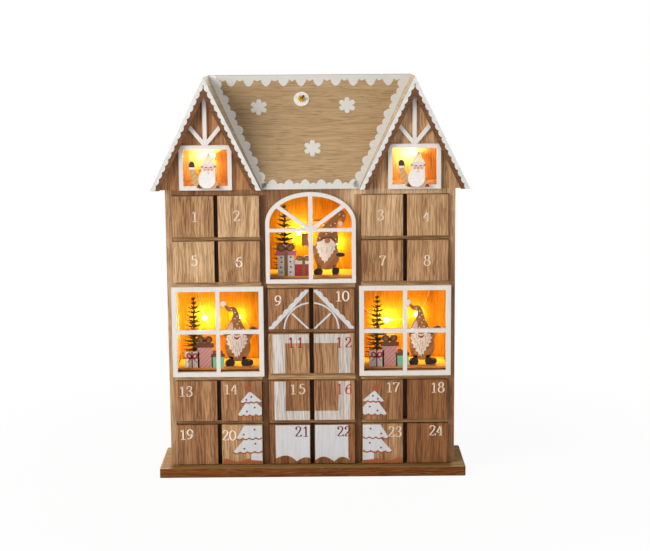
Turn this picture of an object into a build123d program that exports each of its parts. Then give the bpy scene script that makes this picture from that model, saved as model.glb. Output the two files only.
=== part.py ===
from build123d import *
import math
import os

# Wooden advent calendar: a house-shaped cabinet of small drawers with lit windows
# under a roof with two front gables. Millimetres. The origin is under the middle of
# the base board, +X is to the right and the front looks along -Y.

# Base board
base_side_margin = 10.5
base_depth = 75
base_height = 10
base_edge_radius = 1.5

# Carcass of square cells, three bays wide and three tiers high
cell = 85
board = 6
top_thickness = 5
back_thickness = 3
front_setback = 13
back_setback = 2.5
wire_gap = 2

# Drawers, four to a cell, with the thin cross of boards that parts them
thin_board = 3
drawer_clearance = 0.5
drawer_projection = 4
drawer_front_thickness = 5
drawer_back_gap = 4.5
drawer_wall = 2
drawer_side_height = 34
drawer_side_inset = 0.5
drawer_chamfer = 0.5
shelf_setback = 1
partition_setback = 6

# Roof
eave_overhang = 13.5
gable_width = 106
gable_rise = 107.5
roof_thickness = 4
roof_overhang = 4.5
barge_width = 8
barge_thickness = 3.5
gable_front_thickness = 4
gable_floor_thickness = 3
roof_panel_thickness = 5
roof_panel_overhang = 1.5

# Window frames, cut from sheet
frame_thickness = 4
square_window_lap = 2
square_bar = 4.6
square_mullion = 3.9
arch_window_lap = 1
arch_window_height = 88.5
arch_window_drop = 1
arch_rise = 30
arch_bar = 3.9
arch_mullion = 4.1
arch_transom = 3.4
arch_transom_height = 51.8
arch_fan_angle = 36
arch_fan_bar = 3.6
spandrel_thickness = 3
spandrel_lap = 1
spandrel_cut = 16
gable_window_clearance = 2.1
gable_window_height = 43
gable_bar = 4
gable_window_lap = 3
brace_width = 3.8
brace_angle = 50
brace_thickness = 3

# Figures behind the windows, cut from sheet and stood on plinths
figure_thickness = 2.5
plinth_gap = 0.5
plinth_height = 3.8
plinth_board = 1.8
plinth_recess = 4
plinth_front = -14
fir_row = 4
fir_offset = -26
fir_height = 68
fir_width = 25
fir_trunk = 3
fir_tiers = 8
gift_row = -11
gift_offset = -15
gift_width = 39
gift_height = 32
gnome_row = -5
gnome_offset = 17
arch_gnome_offset = 15
gnome_width = 29
gnome_height = 67.5
gable_figure_width = 27
gable_figure_height = 34

# Lights on a thin wire along the back panel
wire_diameter = 1.2
wire_sides = 6
wire_seat = 0.2
bulb_radius = 2.2
bulb_length = 5
run_share = 0.45

# Battery box let into the back panel
cell_diameter = 14
cell_length = 50
cell_nub_diameter = 5.5
cell_nub_length = 1
cell_play = 0.4
contact_size = 8
contact_thickness = 0.6
contact_spring = 2.8
box_wall = 1.5
box_height_above_eave = 30
rim_margin = 5
lid_thickness = 1.2
lid_play = 0.25
lid_lip = 1.5
lid_groove = 1.8
lid_stop = 2
grip_count = 4
grip_width = 1.2
grip_pitch = 3
grip_height = 0.4
grip_length = 18

# Toggle switch on the roof panel
switch_offset = -8
switch_drop = 26
switch_plate_radius = 7.6
switch_plate_thickness = 0.8
switch_body_width = 12
switch_body_height = 7
switch_body_depth = 8
bushing_radius = 2.1
bushing_bore = 1.5
bushing_length = 3.2
bushing_play = 0.2
nut_across_flats = 6.2
nut_thickness = 1.6
nut_sides = 6
lever_length = 6
lever_radius = 0.8
lever_tip_radius = 1.05
lever_ball_radius = 1.15
lever_pivot = 1.9
lever_tilt = 20

# Clearance for through cuts
overrun = 1

# Which drawers stand in which cell, as (tier from below, bay from the left):
# numbers at upper left, upper right, lower left and lower right
drawer_cells = {
    (2, 0): (1, 2, 5, 6),
    (2, 2): (3, 4, 7, 8),
    (1, 1): (9, 10, 11, 12),
    (0, 0): (13, 14, 19, 20),
    (0, 1): (15, 16, 21, 22),
    (0, 2): (17, 18, 23, 24),
}
window_cells = ((1, 0), (1, 2))
arch_cell = (2, 1)
tiers = 3
bays = 3

# Outlines of the figures, as shares of each figure's width (across) and height (up)
gift_box_shares = (
    (-0.31, 0.25, 0.37, 0.50),
    (0.02, 0.34, 0.38, 0.68),
    (0.02, 0.70, 0.46, 0.14),
    (0.34, 0.18, 0.32, 0.36),
    (0.34, 0.38, 0.35, 0.10),
)
gift_bow_shares = (
    (-0.06, 0.86, 0.17, 0.24),
    (0.10, 0.86, 0.17, 0.24),
    (0.29, 0.47, 0.12, 0.13),
    (0.39, 0.47, 0.12, 0.13),
)
arch_gift_box_shares = (
    (-0.24, 0.34, 0.42, 0.68),
    (-0.24, 0.70, 0.50, 0.14),
    (0.20, 0.20, 0.46, 0.40),
    (0.20, 0.42, 0.50, 0.12),
)
arch_gift_bow_shares = (
    (-0.33, 0.86, 0.20, 0.24),
    (-0.15, 0.86, 0.20, 0.24),
    (0.13, 0.54, 0.16, 0.16),
    (0.27, 0.54, 0.16, 0.16),
)
gnome_hat_shares = (
    (-0.42, 0.44),
    (0.40, 0.44),
    (0.30, 0.54),
    (0.15, 0.66),
    (0.075, 0.77),
    (0.00, 0.845),
    (-0.10, 0.882),
    (-0.25, 0.87),
    (-0.37, 0.92),
    (-0.43, 0.90),
    (-0.33, 0.83),
    (-0.245, 0.812),
    (-0.13, 0.812),
    (-0.118, 0.76),
    (-0.18, 0.69),
    (-0.30, 0.605),
    (-0.38, 0.535),
)
gnome_arm_shares = (
    (0.20, 0.32),
    (0.34, 0.30),
    (0.62, 0.52),
    (0.50, 0.56),
)
gnome_round_shares = (
    (0.03, 0.28, 0.86, 0.42),
    (0.00, 0.42, 0.80, 0.24),
    (-0.25, 0.045, 0.34, 0.11),
    (0.34, 0.05, 0.42, 0.11),
    (-0.44, 0.93, 0.20, 0.105),
    (0.56, 0.545, 0.28, 0.075),
)
gnome_leg_shares = (
    (-0.20, 0.09, 0.16, 0.18),
    (0.24, 0.09, 0.16, 0.18),
)
arch_gnome_hat_shares = (
    (-0.33, 0.45),
    (0.39, 0.45),
    (0.414, 0.543),
    (0.382, 0.616),
    (0.36, 0.705),
    (0.40, 0.80),
    (0.50, 0.835),
    (0.54, 0.82),
    (0.50, 0.78),
    (0.58, 0.755),
    (0.648, 0.80),
    (0.658, 0.862),
    (0.594, 0.925),
    (0.467, 0.935),
    (0.297, 0.862),
    (0.085, 0.78),
    (-0.14, 0.686),
    (-0.23, 0.616),
    (-0.32, 0.535),
)
arch_gnome_arm_shares = (
    (-0.24, 0.36),
    (-0.62, 0.50),
    (-0.70, 0.44),
    (-0.36, 0.28),
)
arch_gnome_round_shares = (
    (0.02, 0.27, 0.85, 0.40),
    (0.00, 0.42, 0.74, 0.24),
    (-0.28, 0.045, 0.32, 0.10),
    (0.31, 0.05, 0.26, 0.11),
    (0.49, 0.745, 0.17, 0.085),
    (0.47, 0.29, 0.34, 0.07),
)
arch_gnome_leg_shares = (
    (-0.24, 0.08, 0.14, 0.16),
    (0.28, 0.09, 0.14, 0.18),
    (-0.72, 0.515, 0.22, 0.17),
)
bust_round_shares = (
    (0.06, 0.21, 0.62, 0.48),
    (0.12, 0.50, 0.50, 0.40),
    (0.12, 0.62, 0.54, 0.18),
    (-0.47, 0.65, 0.21, 0.25),
)
bust_hat_shares = (
    (-0.13, 0.62),
    (0.37, 0.62),
    (0.25, 0.84),
    (0.17, 0.98),
    (0.08, 0.98),
    (-0.01, 0.84),
)
bust_arm_shares = (
    (-0.56, 0.56),
    (-0.46, 0.16),
    (-0.22, 0.02),
    (-0.08, 0.26),
    (-0.27, 0.33),
    (-0.38, 0.56),
)
bust_coat_shares = (
    (-0.24, 0.00),
    (0.52, 0.00),
    (0.48, 0.10),
    (0.30, 0.38),
    (0.00, 0.30),
)

# Route of the lights along the back panel, as (across, up) points; the wire passes
# one bulb in each gable and two behind each large window.
wire_route = (
    (-32, 318),
    (-62, 323),
    (-98, 313),
    (-119, 285),
    (-121, 235),
    (-117, 185),
    (-109, 147),
    (-94, 120),
    (-74, 158),
    (-57, 124),
    (-37, 156),
    (-29, 200),
    (-14, 234),
    (9, 248),
    (25, 222),
    (36, 183),
    (54, 152),
    (75, 142),
    (108, 146),
    (122, 178),
    (117, 258),
    (106, 310),
)
bulb_route_counts = (2, 6, 8, 12, 14, 17, 18)
lead_tail = 9
lead_depth = 24
lead_radius = 4

# Places that follow from the sizes above
carcass_front = front_setback - base_depth / 2
back_face = base_depth / 2 - back_setback
back_inner = back_face - back_thickness
board_back = back_inner - wire_gap
house_half = (bays * cell + (bays + 1) * board) / 2
base_width = 2 * (house_half + base_side_margin)
cell_pitch = cell + board
top_bottom = base_height + tiers * cell + (tiers - 1) * board
eave = top_bottom + top_thickness
apex = eave + gable_rise
gable_x = house_half + eave_overhang - gable_width / 2
slope = math.atan2(gable_rise, gable_width / 2)
drawer_face = carcass_front - drawer_projection
drawer_size = (cell - thin_board - 4 * drawer_clearance) / 2
drawer_depth = board_back - drawer_back_gap - drawer_face
barge_front = carcass_front - roof_overhang - barge_thickness
roof_front = carcass_front - roof_overhang
frame_front = carcass_front - frame_thickness
square_window_size = cell + 2 * square_window_lap
arch_window_width = cell + 2 * arch_window_lap
attic_floor = eave + gable_floor_thickness

# The roof panel leans so that its front foot stands over the eave and its back edge
# meets the back panel at the ridge
panel_foot = carcass_front - roof_panel_overhang
panel_run = back_inner - panel_foot
panel_lean = math.acos(roof_panel_thickness / math.hypot(panel_run, gable_rise))
panel_lean -= math.atan2(gable_rise, panel_run)

# Battery box sizes that follow from the cells it holds
box_middle = eave + box_height_above_eave
tray_inner_length = cell_length + cell_nub_length + contact_spring + 2 * contact_thickness
tray_inner_height = 2 * cell_diameter + 3 * cell_play
tray_length = tray_inner_length + 2 * box_wall
tray_height = tray_inner_height + 2 * box_wall
tray_mouth = back_face + (back_setback - lid_groove) / 2
tray_floor = tray_mouth - cell_diameter - cell_play
lid_half_height = tray_inner_height / 2 + lid_lip
rim_length = tray_length + 2 * rim_margin
rim_height = tray_height + 2 * rim_margin
lid_left = lid_stop - rim_length / 2


def bay_centre(bay):
    """Middle of a bay across the house."""
    return (bay - (bays - 1) / 2) * cell_pitch


def tier_floor(tier):
    """Height of a tier's floor."""
    return base_height + tier * cell_pitch


def block(across, deep, up):
    """Box between a low and a high value along each axis."""
    spans = (across, deep, up)
    sizes = [high - low for low, high in spans]
    middles = [(high + low) / 2 for low, high in spans]
    return Pos(*middles) * Box(*sizes)


def upright(sketch, front, back):
    """Sheet part: a sketch in X and Z, as thick as the span from front to back."""
    return extrude(Plane.XZ.offset(-back) * sketch, amount=back - front, dir=(0, -1, 0))


def gable_half_width(height, inset=0):
    """Half the gable's width at a height, with its slopes drawn in by an inset."""
    return (apex - inset / math.cos(slope) - height) / math.tan(slope)


def gable_window_width():
    """Width that the roof boards leave at the top of a gable window."""
    half = gable_half_width(eave + gable_window_height, roof_thickness)
    return 2 * (half - gable_window_clearance)


def gable_triangle(centre, foot, inset=0):
    """Gable outline above a level foot, with its slopes drawn in by an inset."""
    half = gable_half_width(foot, inset)
    top = apex - inset / math.cos(slope)
    return Polygon((centre - half, foot), (centre + half, foot), (centre, top), align=None)


def make_base_board():
    base = block(
        (-base_width / 2, base_width / 2),
        (-base_depth / 2, base_depth / 2),
        (0, base_height),
    )
    rounded = base.edges().filter_by(Axis.Z) + base.edges().group_by(Axis.Z)[-1]
    return [fillet(rounded, base_edge_radius)]


def make_wall(side):
    outer = side * house_half
    inner = side * (house_half - board)
    across = (min(outer, inner), max(outer, inner))
    return [block(across, (carcass_front, back_inner), (base_height, eave))]


def make_dividers():
    dividers = []
    for gap in range(1, bays):
        centre = (bay_centre(gap - 1) + bay_centre(gap)) / 2
        across = (centre - board / 2, centre + board / 2)
        dividers.append(block(across, (carcass_front, board_back), (base_height, top_bottom)))
    return dividers


def make_tier_shelves():
    shelves = []
    for tier in range(1, tiers):
        for bay in range(bays):
            centre = bay_centre(bay)
            floor = tier_floor(tier)
            across = (centre - cell / 2, centre + cell / 2)
            shelves.append(block(across, (carcass_front, board_back), (floor - board, floor)))
    return shelves


def make_top_board():
    across = (board - house_half, house_half - board)
    return [block(across, (carcass_front, board_back), (top_bottom, eave))]


def make_back_panel():
    eave_half = gable_x + gable_width / 2
    outline = Polygon(
        (-house_half, base_height),
        (house_half, base_height),
        (house_half, eave),
        (eave_half, eave),
        (gable_x, apex),
        (-gable_x, apex),
        (-eave_half, eave),
        (-house_half, eave),
        align=None,
    )
    window = Pos(0, box_middle) * Rectangle(tray_length, tray_height)
    return [upright(outline - window, back_inner, back_face)]


def make_drawer_shelves():
    shelves = []
    for tier, bay in drawer_cells:
        centre = bay_centre(bay)
        low = tier_floor(tier) + (cell - thin_board) / 2
        across = (centre - cell / 2, centre + cell / 2)
        deep = (carcass_front + shelf_setback, board_back)
        shelves.append(block(across, deep, (low, low + thin_board)))
    return shelves


def make_drawer_partitions():
    partitions = []
    half_cell = (cell - thin_board) / 2
    for tier, bay in drawer_cells:
        centre = bay_centre(bay)
        across = (centre - thin_board / 2, centre + thin_board / 2)
        deep = (carcass_front + partition_setback, board_back)
        for low in (tier_floor(tier), tier_floor(tier) + half_cell + thin_board):
            partitions.append(block(across, deep, (low, low + half_cell)))
    return partitions


def make_drawer(centre, floor):
    """Drawer box of five boards: front, two sides, back and bottom."""
    half = drawer_size / 2
    outer = half - drawer_side_inset
    inner = outer - drawer_wall
    front_back = drawer_face + drawer_front_thickness
    box_back = drawer_face + drawer_depth
    side_top = floor + drawer_side_height
    front = block((centre - half, centre + half), (drawer_face, front_back), (floor, floor + drawer_size))
    front = chamfer(front.faces().sort_by(Axis.Y)[0].edges(), drawer_chamfer)
    left = block((centre - outer, centre - inner), (front_back, box_back), (floor, side_top))
    right = block((centre + inner, centre + outer), (front_back, box_back), (floor, side_top))
    between = (centre - inner, centre + inner)
    back = block(between, (box_back - drawer_wall, box_back), (floor, side_top))
    bottom = block(between, (front_back, box_back - drawer_wall), (floor, floor + drawer_wall))
    return [front, left, right, back, bottom]


def make_drawers():
    """All drawers by number, each standing clear of the boards around it."""
    drawers = {}
    step = (cell + thin_board) / 2
    for (tier, bay), numbers in drawer_cells.items():
        for place, number in enumerate(numbers):
            row, column = divmod(place, 2)
            centre = bay_centre(bay) + (column - 1 / 2) * step
            floor = tier_floor(tier) + (1 - row) * step + drawer_clearance
            drawers[number] = make_drawer(centre, floor)
    return drawers


def arch_sketch(half_width, foot, spring, rise):
    """Straight-sided outline with a half ellipse on top."""
    lower = Pos(0, (foot + spring) / 2) * Rectangle(2 * half_width, spring - foot)
    return lower + Pos(0, spring) * Ellipse(half_width, rise)


def arch_levels():
    """Foot, spring line and half width of the arched window's outline."""
    foot = tier_floor(arch_cell[0]) - arch_window_drop
    spring = foot + arch_window_height - arch_rise
    return foot, spring, arch_window_width / 2


def make_arch_window():
    foot, spring, half = arch_levels()
    outer = arch_sketch(half, foot, spring, arch_rise)
    inner = arch_sketch(half - arch_bar, foot + arch_bar, spring, arch_rise - arch_bar)
    hub = foot + arch_transom_height
    reach = arch_window_width
    bars = Pos(0, spring) * Rectangle(arch_mullion, 2 * reach)
    bars += Pos(0, hub) * Rectangle(2 * reach, arch_transom)
    for angle in (arch_fan_angle, 180 - arch_fan_angle):
        bars += Pos(0, hub) * Rot(0, 0, angle) * Pos(reach / 2, 0) * Rectangle(reach, arch_fan_bar)
    frame = (outer - inner) + (bars & outer)
    return [upright(frame, frame_front, carcass_front)]


def make_arch_spandrels():
    """Corner fillers between the arched window and its square cell."""
    foot, spring, half = arch_levels()
    opening = arch_sketch(half - arch_bar + spandrel_lap, foot, spring, arch_rise - arch_bar + spandrel_lap)
    ceiling = tier_floor(arch_cell[0]) + cell
    spandrels = []
    for side in (-1, 1):
        width = cell / 2 - spandrel_cut
        centre = side * (cell / 2 - width / 2)
        corner = Pos(centre, (spring + ceiling) / 2) * Rectangle(width, ceiling - spring)
        spandrels.append(upright(corner - opening, carcass_front, carcass_front + spandrel_thickness))
    return spandrels


def make_square_window(tier, bay):
    pane = square_window_size - 2 * square_bar
    frame = Rectangle(square_window_size, square_window_size) - Rectangle(pane, pane)
    frame += Rectangle(square_mullion, square_window_size)
    frame += Rectangle(square_window_size, square_mullion)
    placed = Pos(bay_centre(bay), tier_floor(tier) + cell / 2) * frame
    return [upright(placed, frame_front, carcass_front)]


def make_gable_windows():
    windows = []
    for side in (-1, 1):
        outline = Rectangle(gable_window_width(), gable_window_height)
        opening = Rectangle(gable_window_width() - 2 * gable_bar, gable_window_height - 2 * gable_bar)
        frame = Pos(side * gable_x, eave + gable_window_height / 2) * (outline - opening)
        windows.append(upright(frame, frame_front, carcass_front))
    return windows


def make_gable_fronts():
    fronts = []
    top = eave + gable_window_height - gable_window_lap
    width = gable_window_width() - 2 * gable_window_lap
    for side in (-1, 1):
        centre = side * gable_x
        outline = gable_triangle(centre, eave, roof_thickness)
        opening = Pos(centre, (attic_floor + top) / 2) * Rectangle(width, top - attic_floor)
        back = carcass_front + gable_front_thickness
        fronts.append(upright(outline - opening, carcass_front, back))
    return fronts


def make_gable_floors():
    floors = []
    for side in (-1, 1):
        centre = side * gable_x
        low = gable_half_width(eave, roof_thickness)
        high = gable_half_width(attic_floor, roof_thickness)
        section = Polygon(
            (centre - low, eave),
            (centre + low, eave),
            (centre + high, attic_floor),
            (centre - high, attic_floor),
            align=None,
        )
        floors.append(upright(section, carcass_front + gable_front_thickness, board_back))
    return floors


def make_gable_braces():
    """King post and two struts over each gable window, cut as one piece."""
    braces = []
    foot = eave + gable_window_height
    for side in (-1, 1):
        centre = side * gable_x
        brace = Pos(centre, foot + gable_rise / 2) * Rectangle(brace_width, gable_rise)
        for angle in (brace_angle, 180 - brace_angle):
            strut = Pos(gable_rise / 2, 0) * Rectangle(gable_rise, brace_width)
            brace += Pos(centre, foot) * Rot(0, 0, angle) * strut
        brace &= gable_triangle(centre, foot, roof_thickness)
        braces.append(upright(brace, carcass_front - brace_thickness, carcass_front))
    return braces


def make_barge_boards():
    boards = []
    for side in (-1, 1):
        centre = side * gable_x
        outline = gable_triangle(centre, eave) - gable_triangle(centre, eave, barge_width)
        boards.append(upright(outline, barge_front, roof_front))
    return boards


def make_roof_boards(facing, back):
    """One roof board on each gable, facing away from the middle (1) or towards it (-1)."""
    boards = []
    drop = roof_thickness / math.cos(slope)
    for side in (-1, 1):
        centre = side * gable_x
        way = side * facing
        section = Polygon(
            (centre, apex),
            (centre + way * gable_half_width(eave), eave),
            (centre + way * gable_half_width(eave, roof_thickness), eave),
            (centre, apex - drop),
            align=None,
        )
        boards.append(upright(section, roof_front, back))
    return boards


def make_roof_panel():
    """Leaning panel between the gables, its ends cut to their slopes."""
    lean_run = gable_rise * math.tan(panel_lean)
    section = Polygon(
        (panel_foot, eave),
        (panel_foot + lean_run, apex),
        (back_inner, apex),
        (back_inner - lean_run, eave),
        align=None,
    )
    panel = extrude(Plane.YZ * section, amount=gable_x, both=True)
    for side in (-1, 1):
        panel -= upright(gable_triangle(side * gable_x, eave), roof_front, back_inner + overrun)
    bore = Cylinder(bushing_radius + bushing_play, 4 * roof_panel_thickness)
    return [panel - switch_plane() * bore]


def make_plinths():
    """Thin floor board on a recessed batten behind each large window."""
    plinths = []
    for tier, bay in (window_cells[0], arch_cell, window_cells[1]):
        centre = bay_centre(bay)
        floor = tier_floor(tier)
        half = cell / 2 - plinth_gap
        back = board_back - plinth_gap
        under = floor + plinth_height - plinth_board
        plinth = block((centre - half, centre + half), (plinth_front, back), (under, floor + plinth_height))
        batten = (centre - half + plinth_recess, centre + half - plinth_recess)
        plinth += block(batten, (plinth_front + plinth_recess, back - plinth_recess), (floor, under))
        plinths.append(plinth)
    return plinths


def fir_tree():
    """Turned fir tree on its trunk: stacked tiers that narrow evenly towards the tip."""
    on_foot = (Align.CENTER, Align.CENTER, Align.MIN)
    pitch = (fir_height - fir_trunk) / fir_tiers
    reaches = [fir_width / 2 * (1 - tier / fir_tiers) for tier in range(fir_tiers + 1)]
    tree = Cylinder(fir_trunk / 2, 2 * fir_trunk, align=on_foot)
    for tier in range(fir_tiers):
        cone = Cone(reaches[tier], reaches[tier + 1] / 2, pitch, align=on_foot)
        tree += Pos(0, 0, fir_trunk + tier * pitch) * cone
    return tree


def rounds(shares, width, height):
    """Union of ellipses given as shares: centre across, centre up, width and height."""
    shapes = Sketch()
    for across, up, wide, tall in shares:
        shapes += Pos(across * width, up * height) * Ellipse(wide * width / 2, tall * height / 2)
    return shapes


def oblongs(shares, width, height):
    """Union of rectangles given as shares: centre across, centre up, width and height."""
    shapes = Sketch()
    for across, up, wide, tall in shares:
        shapes += Pos(across * width, up * height) * Rectangle(wide * width, tall * height)
    return shapes


def outline(shares, width, height):
    """Polygon through points given as shares of a width and a height."""
    points = [(across * width, up * height) for across, up in shares]
    return Polygon(*points, align=None)


def gift_sketch(box_shares, bow_shares):
    boxes = oblongs(box_shares, gift_width, gift_height)
    return boxes + rounds(bow_shares, gift_width, gift_height)


def gnome_sketch(round_shares, leg_shares, hat_shares, arm_shares):
    figure = rounds(round_shares, gnome_width, gnome_height)
    figure += oblongs(leg_shares, gnome_width, gnome_height)
    for shares in (hat_shares, arm_shares):
        figure += outline(shares, gnome_width, gnome_height)
    ground = Pos(0, gnome_height / 2) * Rectangle(2 * gnome_width, gnome_height)
    return figure & ground


def bust_sketch():
    figure = rounds(bust_round_shares, gable_figure_width, gable_figure_height)
    for shares in (bust_hat_shares, bust_arm_shares, bust_coat_shares):
        figure += outline(shares, gable_figure_width, gable_figure_height)
    ground = Pos(0, gable_figure_height / 2) * Rectangle(2 * gable_figure_width, gable_figure_height)
    return figure & ground


def niche_foot(tier, bay, offset):
    """Place on a plinth, as (across, up)."""
    return bay_centre(bay) + offset, tier_floor(tier) + plinth_height


def make_fir_trees():
    """A turned fir tree on the plinth behind each large window."""
    trees = []
    for tier, bay in (window_cells[0], arch_cell, window_cells[1]):
        across, foot = niche_foot(tier, bay, fir_offset)
        trees.append(Pos(across, fir_row, foot) * fir_tree())
    return trees


def niche_cutout(sketch, tier, bay, row, offset):
    """Cut-out figure that stands on the plinth behind a large window."""
    placed = Pos(*niche_foot(tier, bay, offset)) * sketch
    return upright(placed, row - figure_thickness / 2, row + figure_thickness / 2)


def make_gift_stacks():
    """Stacks of gifts: the same behind both square windows, another behind the arch."""
    plain = gift_sketch(gift_box_shares, gift_bow_shares)
    arched = gift_sketch(arch_gift_box_shares, arch_gift_bow_shares)
    stacks = [(window_cells[0], plain), (arch_cell, arched), (window_cells[1], plain)]
    return [niche_cutout(sketch, *place, gift_row, gift_offset) for place, sketch in stacks]


def make_gnomes():
    """Gnomes: the same behind both square windows, and one with a lantern behind the arch."""
    plain = gnome_sketch(gnome_round_shares, gnome_leg_shares, gnome_hat_shares, gnome_arm_shares)
    arched = gnome_sketch(
        arch_gnome_round_shares, arch_gnome_leg_shares, arch_gnome_hat_shares, arch_gnome_arm_shares
    )
    gnomes = [
        (window_cells[0], plain, gnome_offset),
        (arch_cell, arched, arch_gnome_offset),
        (window_cells[1], plain, gnome_offset),
    ]
    return [niche_cutout(sketch, *place, gnome_row, offset) for place, sketch, offset in gnomes]


def make_gable_figures():
    """Waving figures, glued by their feet to the front of the gable windows' lower bars."""
    figures = []
    for side in (-1, 1):
        placed = Pos(side * gable_x, eave + gable_bar / 2) * bust_sketch()
        figures.append(upright(placed, frame_front - figure_thickness, frame_front))
    return figures


def wire_corner(index):
    """Turn, radius and closest point of the wire at one corner of its route."""
    before, here, after = [Vector(*point) for point in wire_route[index - 1:index + 2]]
    turn = math.radians((here - before).get_angle(after - here))
    radius = run_share * min((here - before).length, (after - here).length) / math.tan(turn / 2)
    inward = ((before - here).normalized() + (after - here).normalized()).normalized()
    closest = here + inward * (radius / math.cos(turn / 2) - radius)
    return turn, radius, closest


def tube(path, diameter):
    start = Plane(origin=path @ 0, z_dir=path % 0)
    return sweep(start * RegularPolygon(diameter / 2, wire_sides), path=path)


def make_light_wire():
    """Light string along the back panel, and the short lead to the switch."""
    lie = back_inner - wire_seat - wire_diameter / 2
    points = [(across, lie, up) for across, up in wire_route]
    radii = [wire_corner(index)[1] for index in range(1, len(wire_route) - 1)]
    print("wire radii", [round(radius, 1) for radius in radii])
    string = tube(FilletPolyline(*points, radius=radii), wire_diameter)
    middle = -roof_panel_thickness - switch_body_depth / 2
    exit_point = switch_plane().from_local_coords((0, -switch_body_height / 2, middle))
    bend = switch_plane().from_local_coords((0, -switch_body_height / 2 - lead_tail, middle))
    end = Vector(switch_offset, lead_depth, box_middle + tray_height / 2)
    entry = end + Vector(0, 0, lead_tail)
    lead = FilletPolyline(exit_point, bend, entry, end, radius=lead_radius)
    return [string, tube(lead, wire_diameter)]


def make_light_bulbs():
    """Small round-ended bulbs on the wire, facing the front."""
    tail = back_inner - wire_seat - wire_diameter
    places = [wire_corner(index)[2] for index in bulb_route_counts]
    places.append(Vector(*wire_route[-1]))
    bulbs = []
    for place in places:
        stem = Pos(place.X, tail - bulb_length / 2, place.Y) * Rot(90, 0, 0)
        dome = Pos(place.X, tail - bulb_length, place.Y)
        bulbs.append(stem * Cylinder(bulb_radius, bulb_length) + dome * Sphere(bulb_radius))
    return bulbs


def make_battery_box():
    """Tray let into the back panel, with an outer rim whose grooves hold the lid."""
    up = (box_middle - tray_height / 2, box_middle + tray_height / 2)
    tray = block((-tray_length / 2, tray_length / 2), (tray_floor - box_wall, back_face), up)
    rim_up = (box_middle - rim_height / 2, box_middle + rim_height / 2)
    rim = block((-rim_length / 2, rim_length / 2), (back_face, back_face + back_setback), rim_up)
    cavity = block(
        (-tray_inner_length / 2, tray_inner_length / 2),
        (tray_floor, back_face + back_setback + overrun),
        (box_middle - tray_inner_height / 2, box_middle + tray_inner_height / 2),
    )
    groove = block(
        (lid_left, rim_length / 2 + overrun),
        (tray_mouth, tray_mouth + lid_groove),
        (box_middle - lid_half_height, box_middle + lid_half_height),
    )
    mouth = block(
        (lid_left, rim_length / 2 + overrun),
        (tray_mouth, back_face + back_setback + overrun),
        (box_middle - lid_half_height + lid_lip, box_middle + lid_half_height - lid_lip),
    )
    return [tray + rim - cavity - groove - mouth]


def make_battery_lid():
    """Flat lid that slides sideways in the rim's grooves, with ribs to push against."""
    front = tray_mouth + (lid_groove - lid_thickness) / 2
    half = lid_half_height - lid_play
    lid = block(
        (lid_left + lid_play, rim_length / 2),
        (front, front + lid_thickness),
        (box_middle - half, box_middle + half),
    )
    for index in range(grip_count):
        left = rim_length / 2 - (index + 2) * grip_pitch
        lid += block(
            (left, left + grip_width),
            (front + lid_thickness, front + lid_thickness + grip_height),
            (box_middle - grip_length / 2, box_middle + grip_length / 2),
        )
    return [lid]


def make_battery_cells():
    """Two round cells side by side, laid head to tail."""
    cells = []
    start = -tray_inner_length / 2 + contact_thickness
    lie = tray_floor + cell_diameter / 2 + cell_play / 2
    for side in (-1, 1):
        low = start + contact_spring if side > 0 else start + cell_nub_length
        nub = low + cell_length + cell_nub_length / 2 if side > 0 else low - cell_nub_length / 2
        up = box_middle + side * (cell_diameter + cell_play) / 2
        can = Pos(low + cell_length / 2, lie, up) * Rot(0, 90, 0) * Cylinder(cell_diameter / 2, cell_length)
        tip = Pos(nub, lie, up) * Rot(0, 90, 0) * Cylinder(cell_nub_diameter / 2, cell_nub_length)
        cells.append(can + tip)
    return cells


def make_battery_contacts():
    """A plate at each end of each cell, with a spring cone at the flat end."""
    contacts = []
    wall = tray_inner_length / 2
    lie = tray_floor + cell_diameter / 2 + cell_play / 2
    for side in (-1, 1):
        up = box_middle + side * (cell_diameter + cell_play) / 2
        deep = (lie - contact_size / 2, lie + contact_size / 2)
        high = (up - contact_size / 2, up + contact_size / 2)
        for end in (-1, 1):
            inner = end * (wall - contact_thickness)
            across = (min(end * wall, inner), max(end * wall, inner))
            plate = block(across, deep, high)
            if end != side:
                turn = Rot(0, -90 * end, 0)
                cone = Cone(contact_size / 2, contact_size / 4, contact_spring)
                plate += Pos(inner - end * contact_spring / 2, lie, up) * turn * cone
            contacts.append(plate)
    return contacts


def switch_plane():
    """Plane on the roof panel's face at the switch, its normal pointing out of the roof."""
    across = (0, math.sin(panel_lean), math.cos(panel_lean))
    top = panel_foot + gable_rise * math.tan(panel_lean)
    origin = (switch_offset, top - switch_drop * across[1], apex - switch_drop * across[2])
    return Plane(origin=origin, x_dir=(1, 0, 0), z_dir=(0, -across[2], across[1]))


def make_switch_plate():
    disc = Cylinder(switch_plate_radius, switch_plate_thickness)
    disc -= Cylinder(bushing_radius + bushing_play, 2 * switch_plate_thickness)
    return [switch_plane() * Pos(0, 0, switch_plate_thickness / 2) * disc]


def make_switch_body():
    """Switch behind the panel, with a bushing that comes out through it."""
    body = Pos(0, 0, -roof_panel_thickness - switch_body_depth / 2)
    body *= Box(switch_body_width, switch_body_height, switch_body_depth)
    length = roof_panel_thickness + bushing_length
    body += Pos(0, 0, bushing_length - length / 2) * Cylinder(bushing_radius, length)
    body -= Pos(0, 0, bushing_length) * Cylinder(bushing_bore, 2 * bushing_length)
    return [switch_plane() * body]


def make_switch_nut():
    nut = RegularPolygon(nut_across_flats / 2, nut_sides, major_radius=False)
    nut -= Circle(bushing_radius + bushing_play / 2)
    return [switch_plane() * Pos(0, 0, switch_plate_thickness) * extrude(nut, amount=nut_thickness)]


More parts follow.
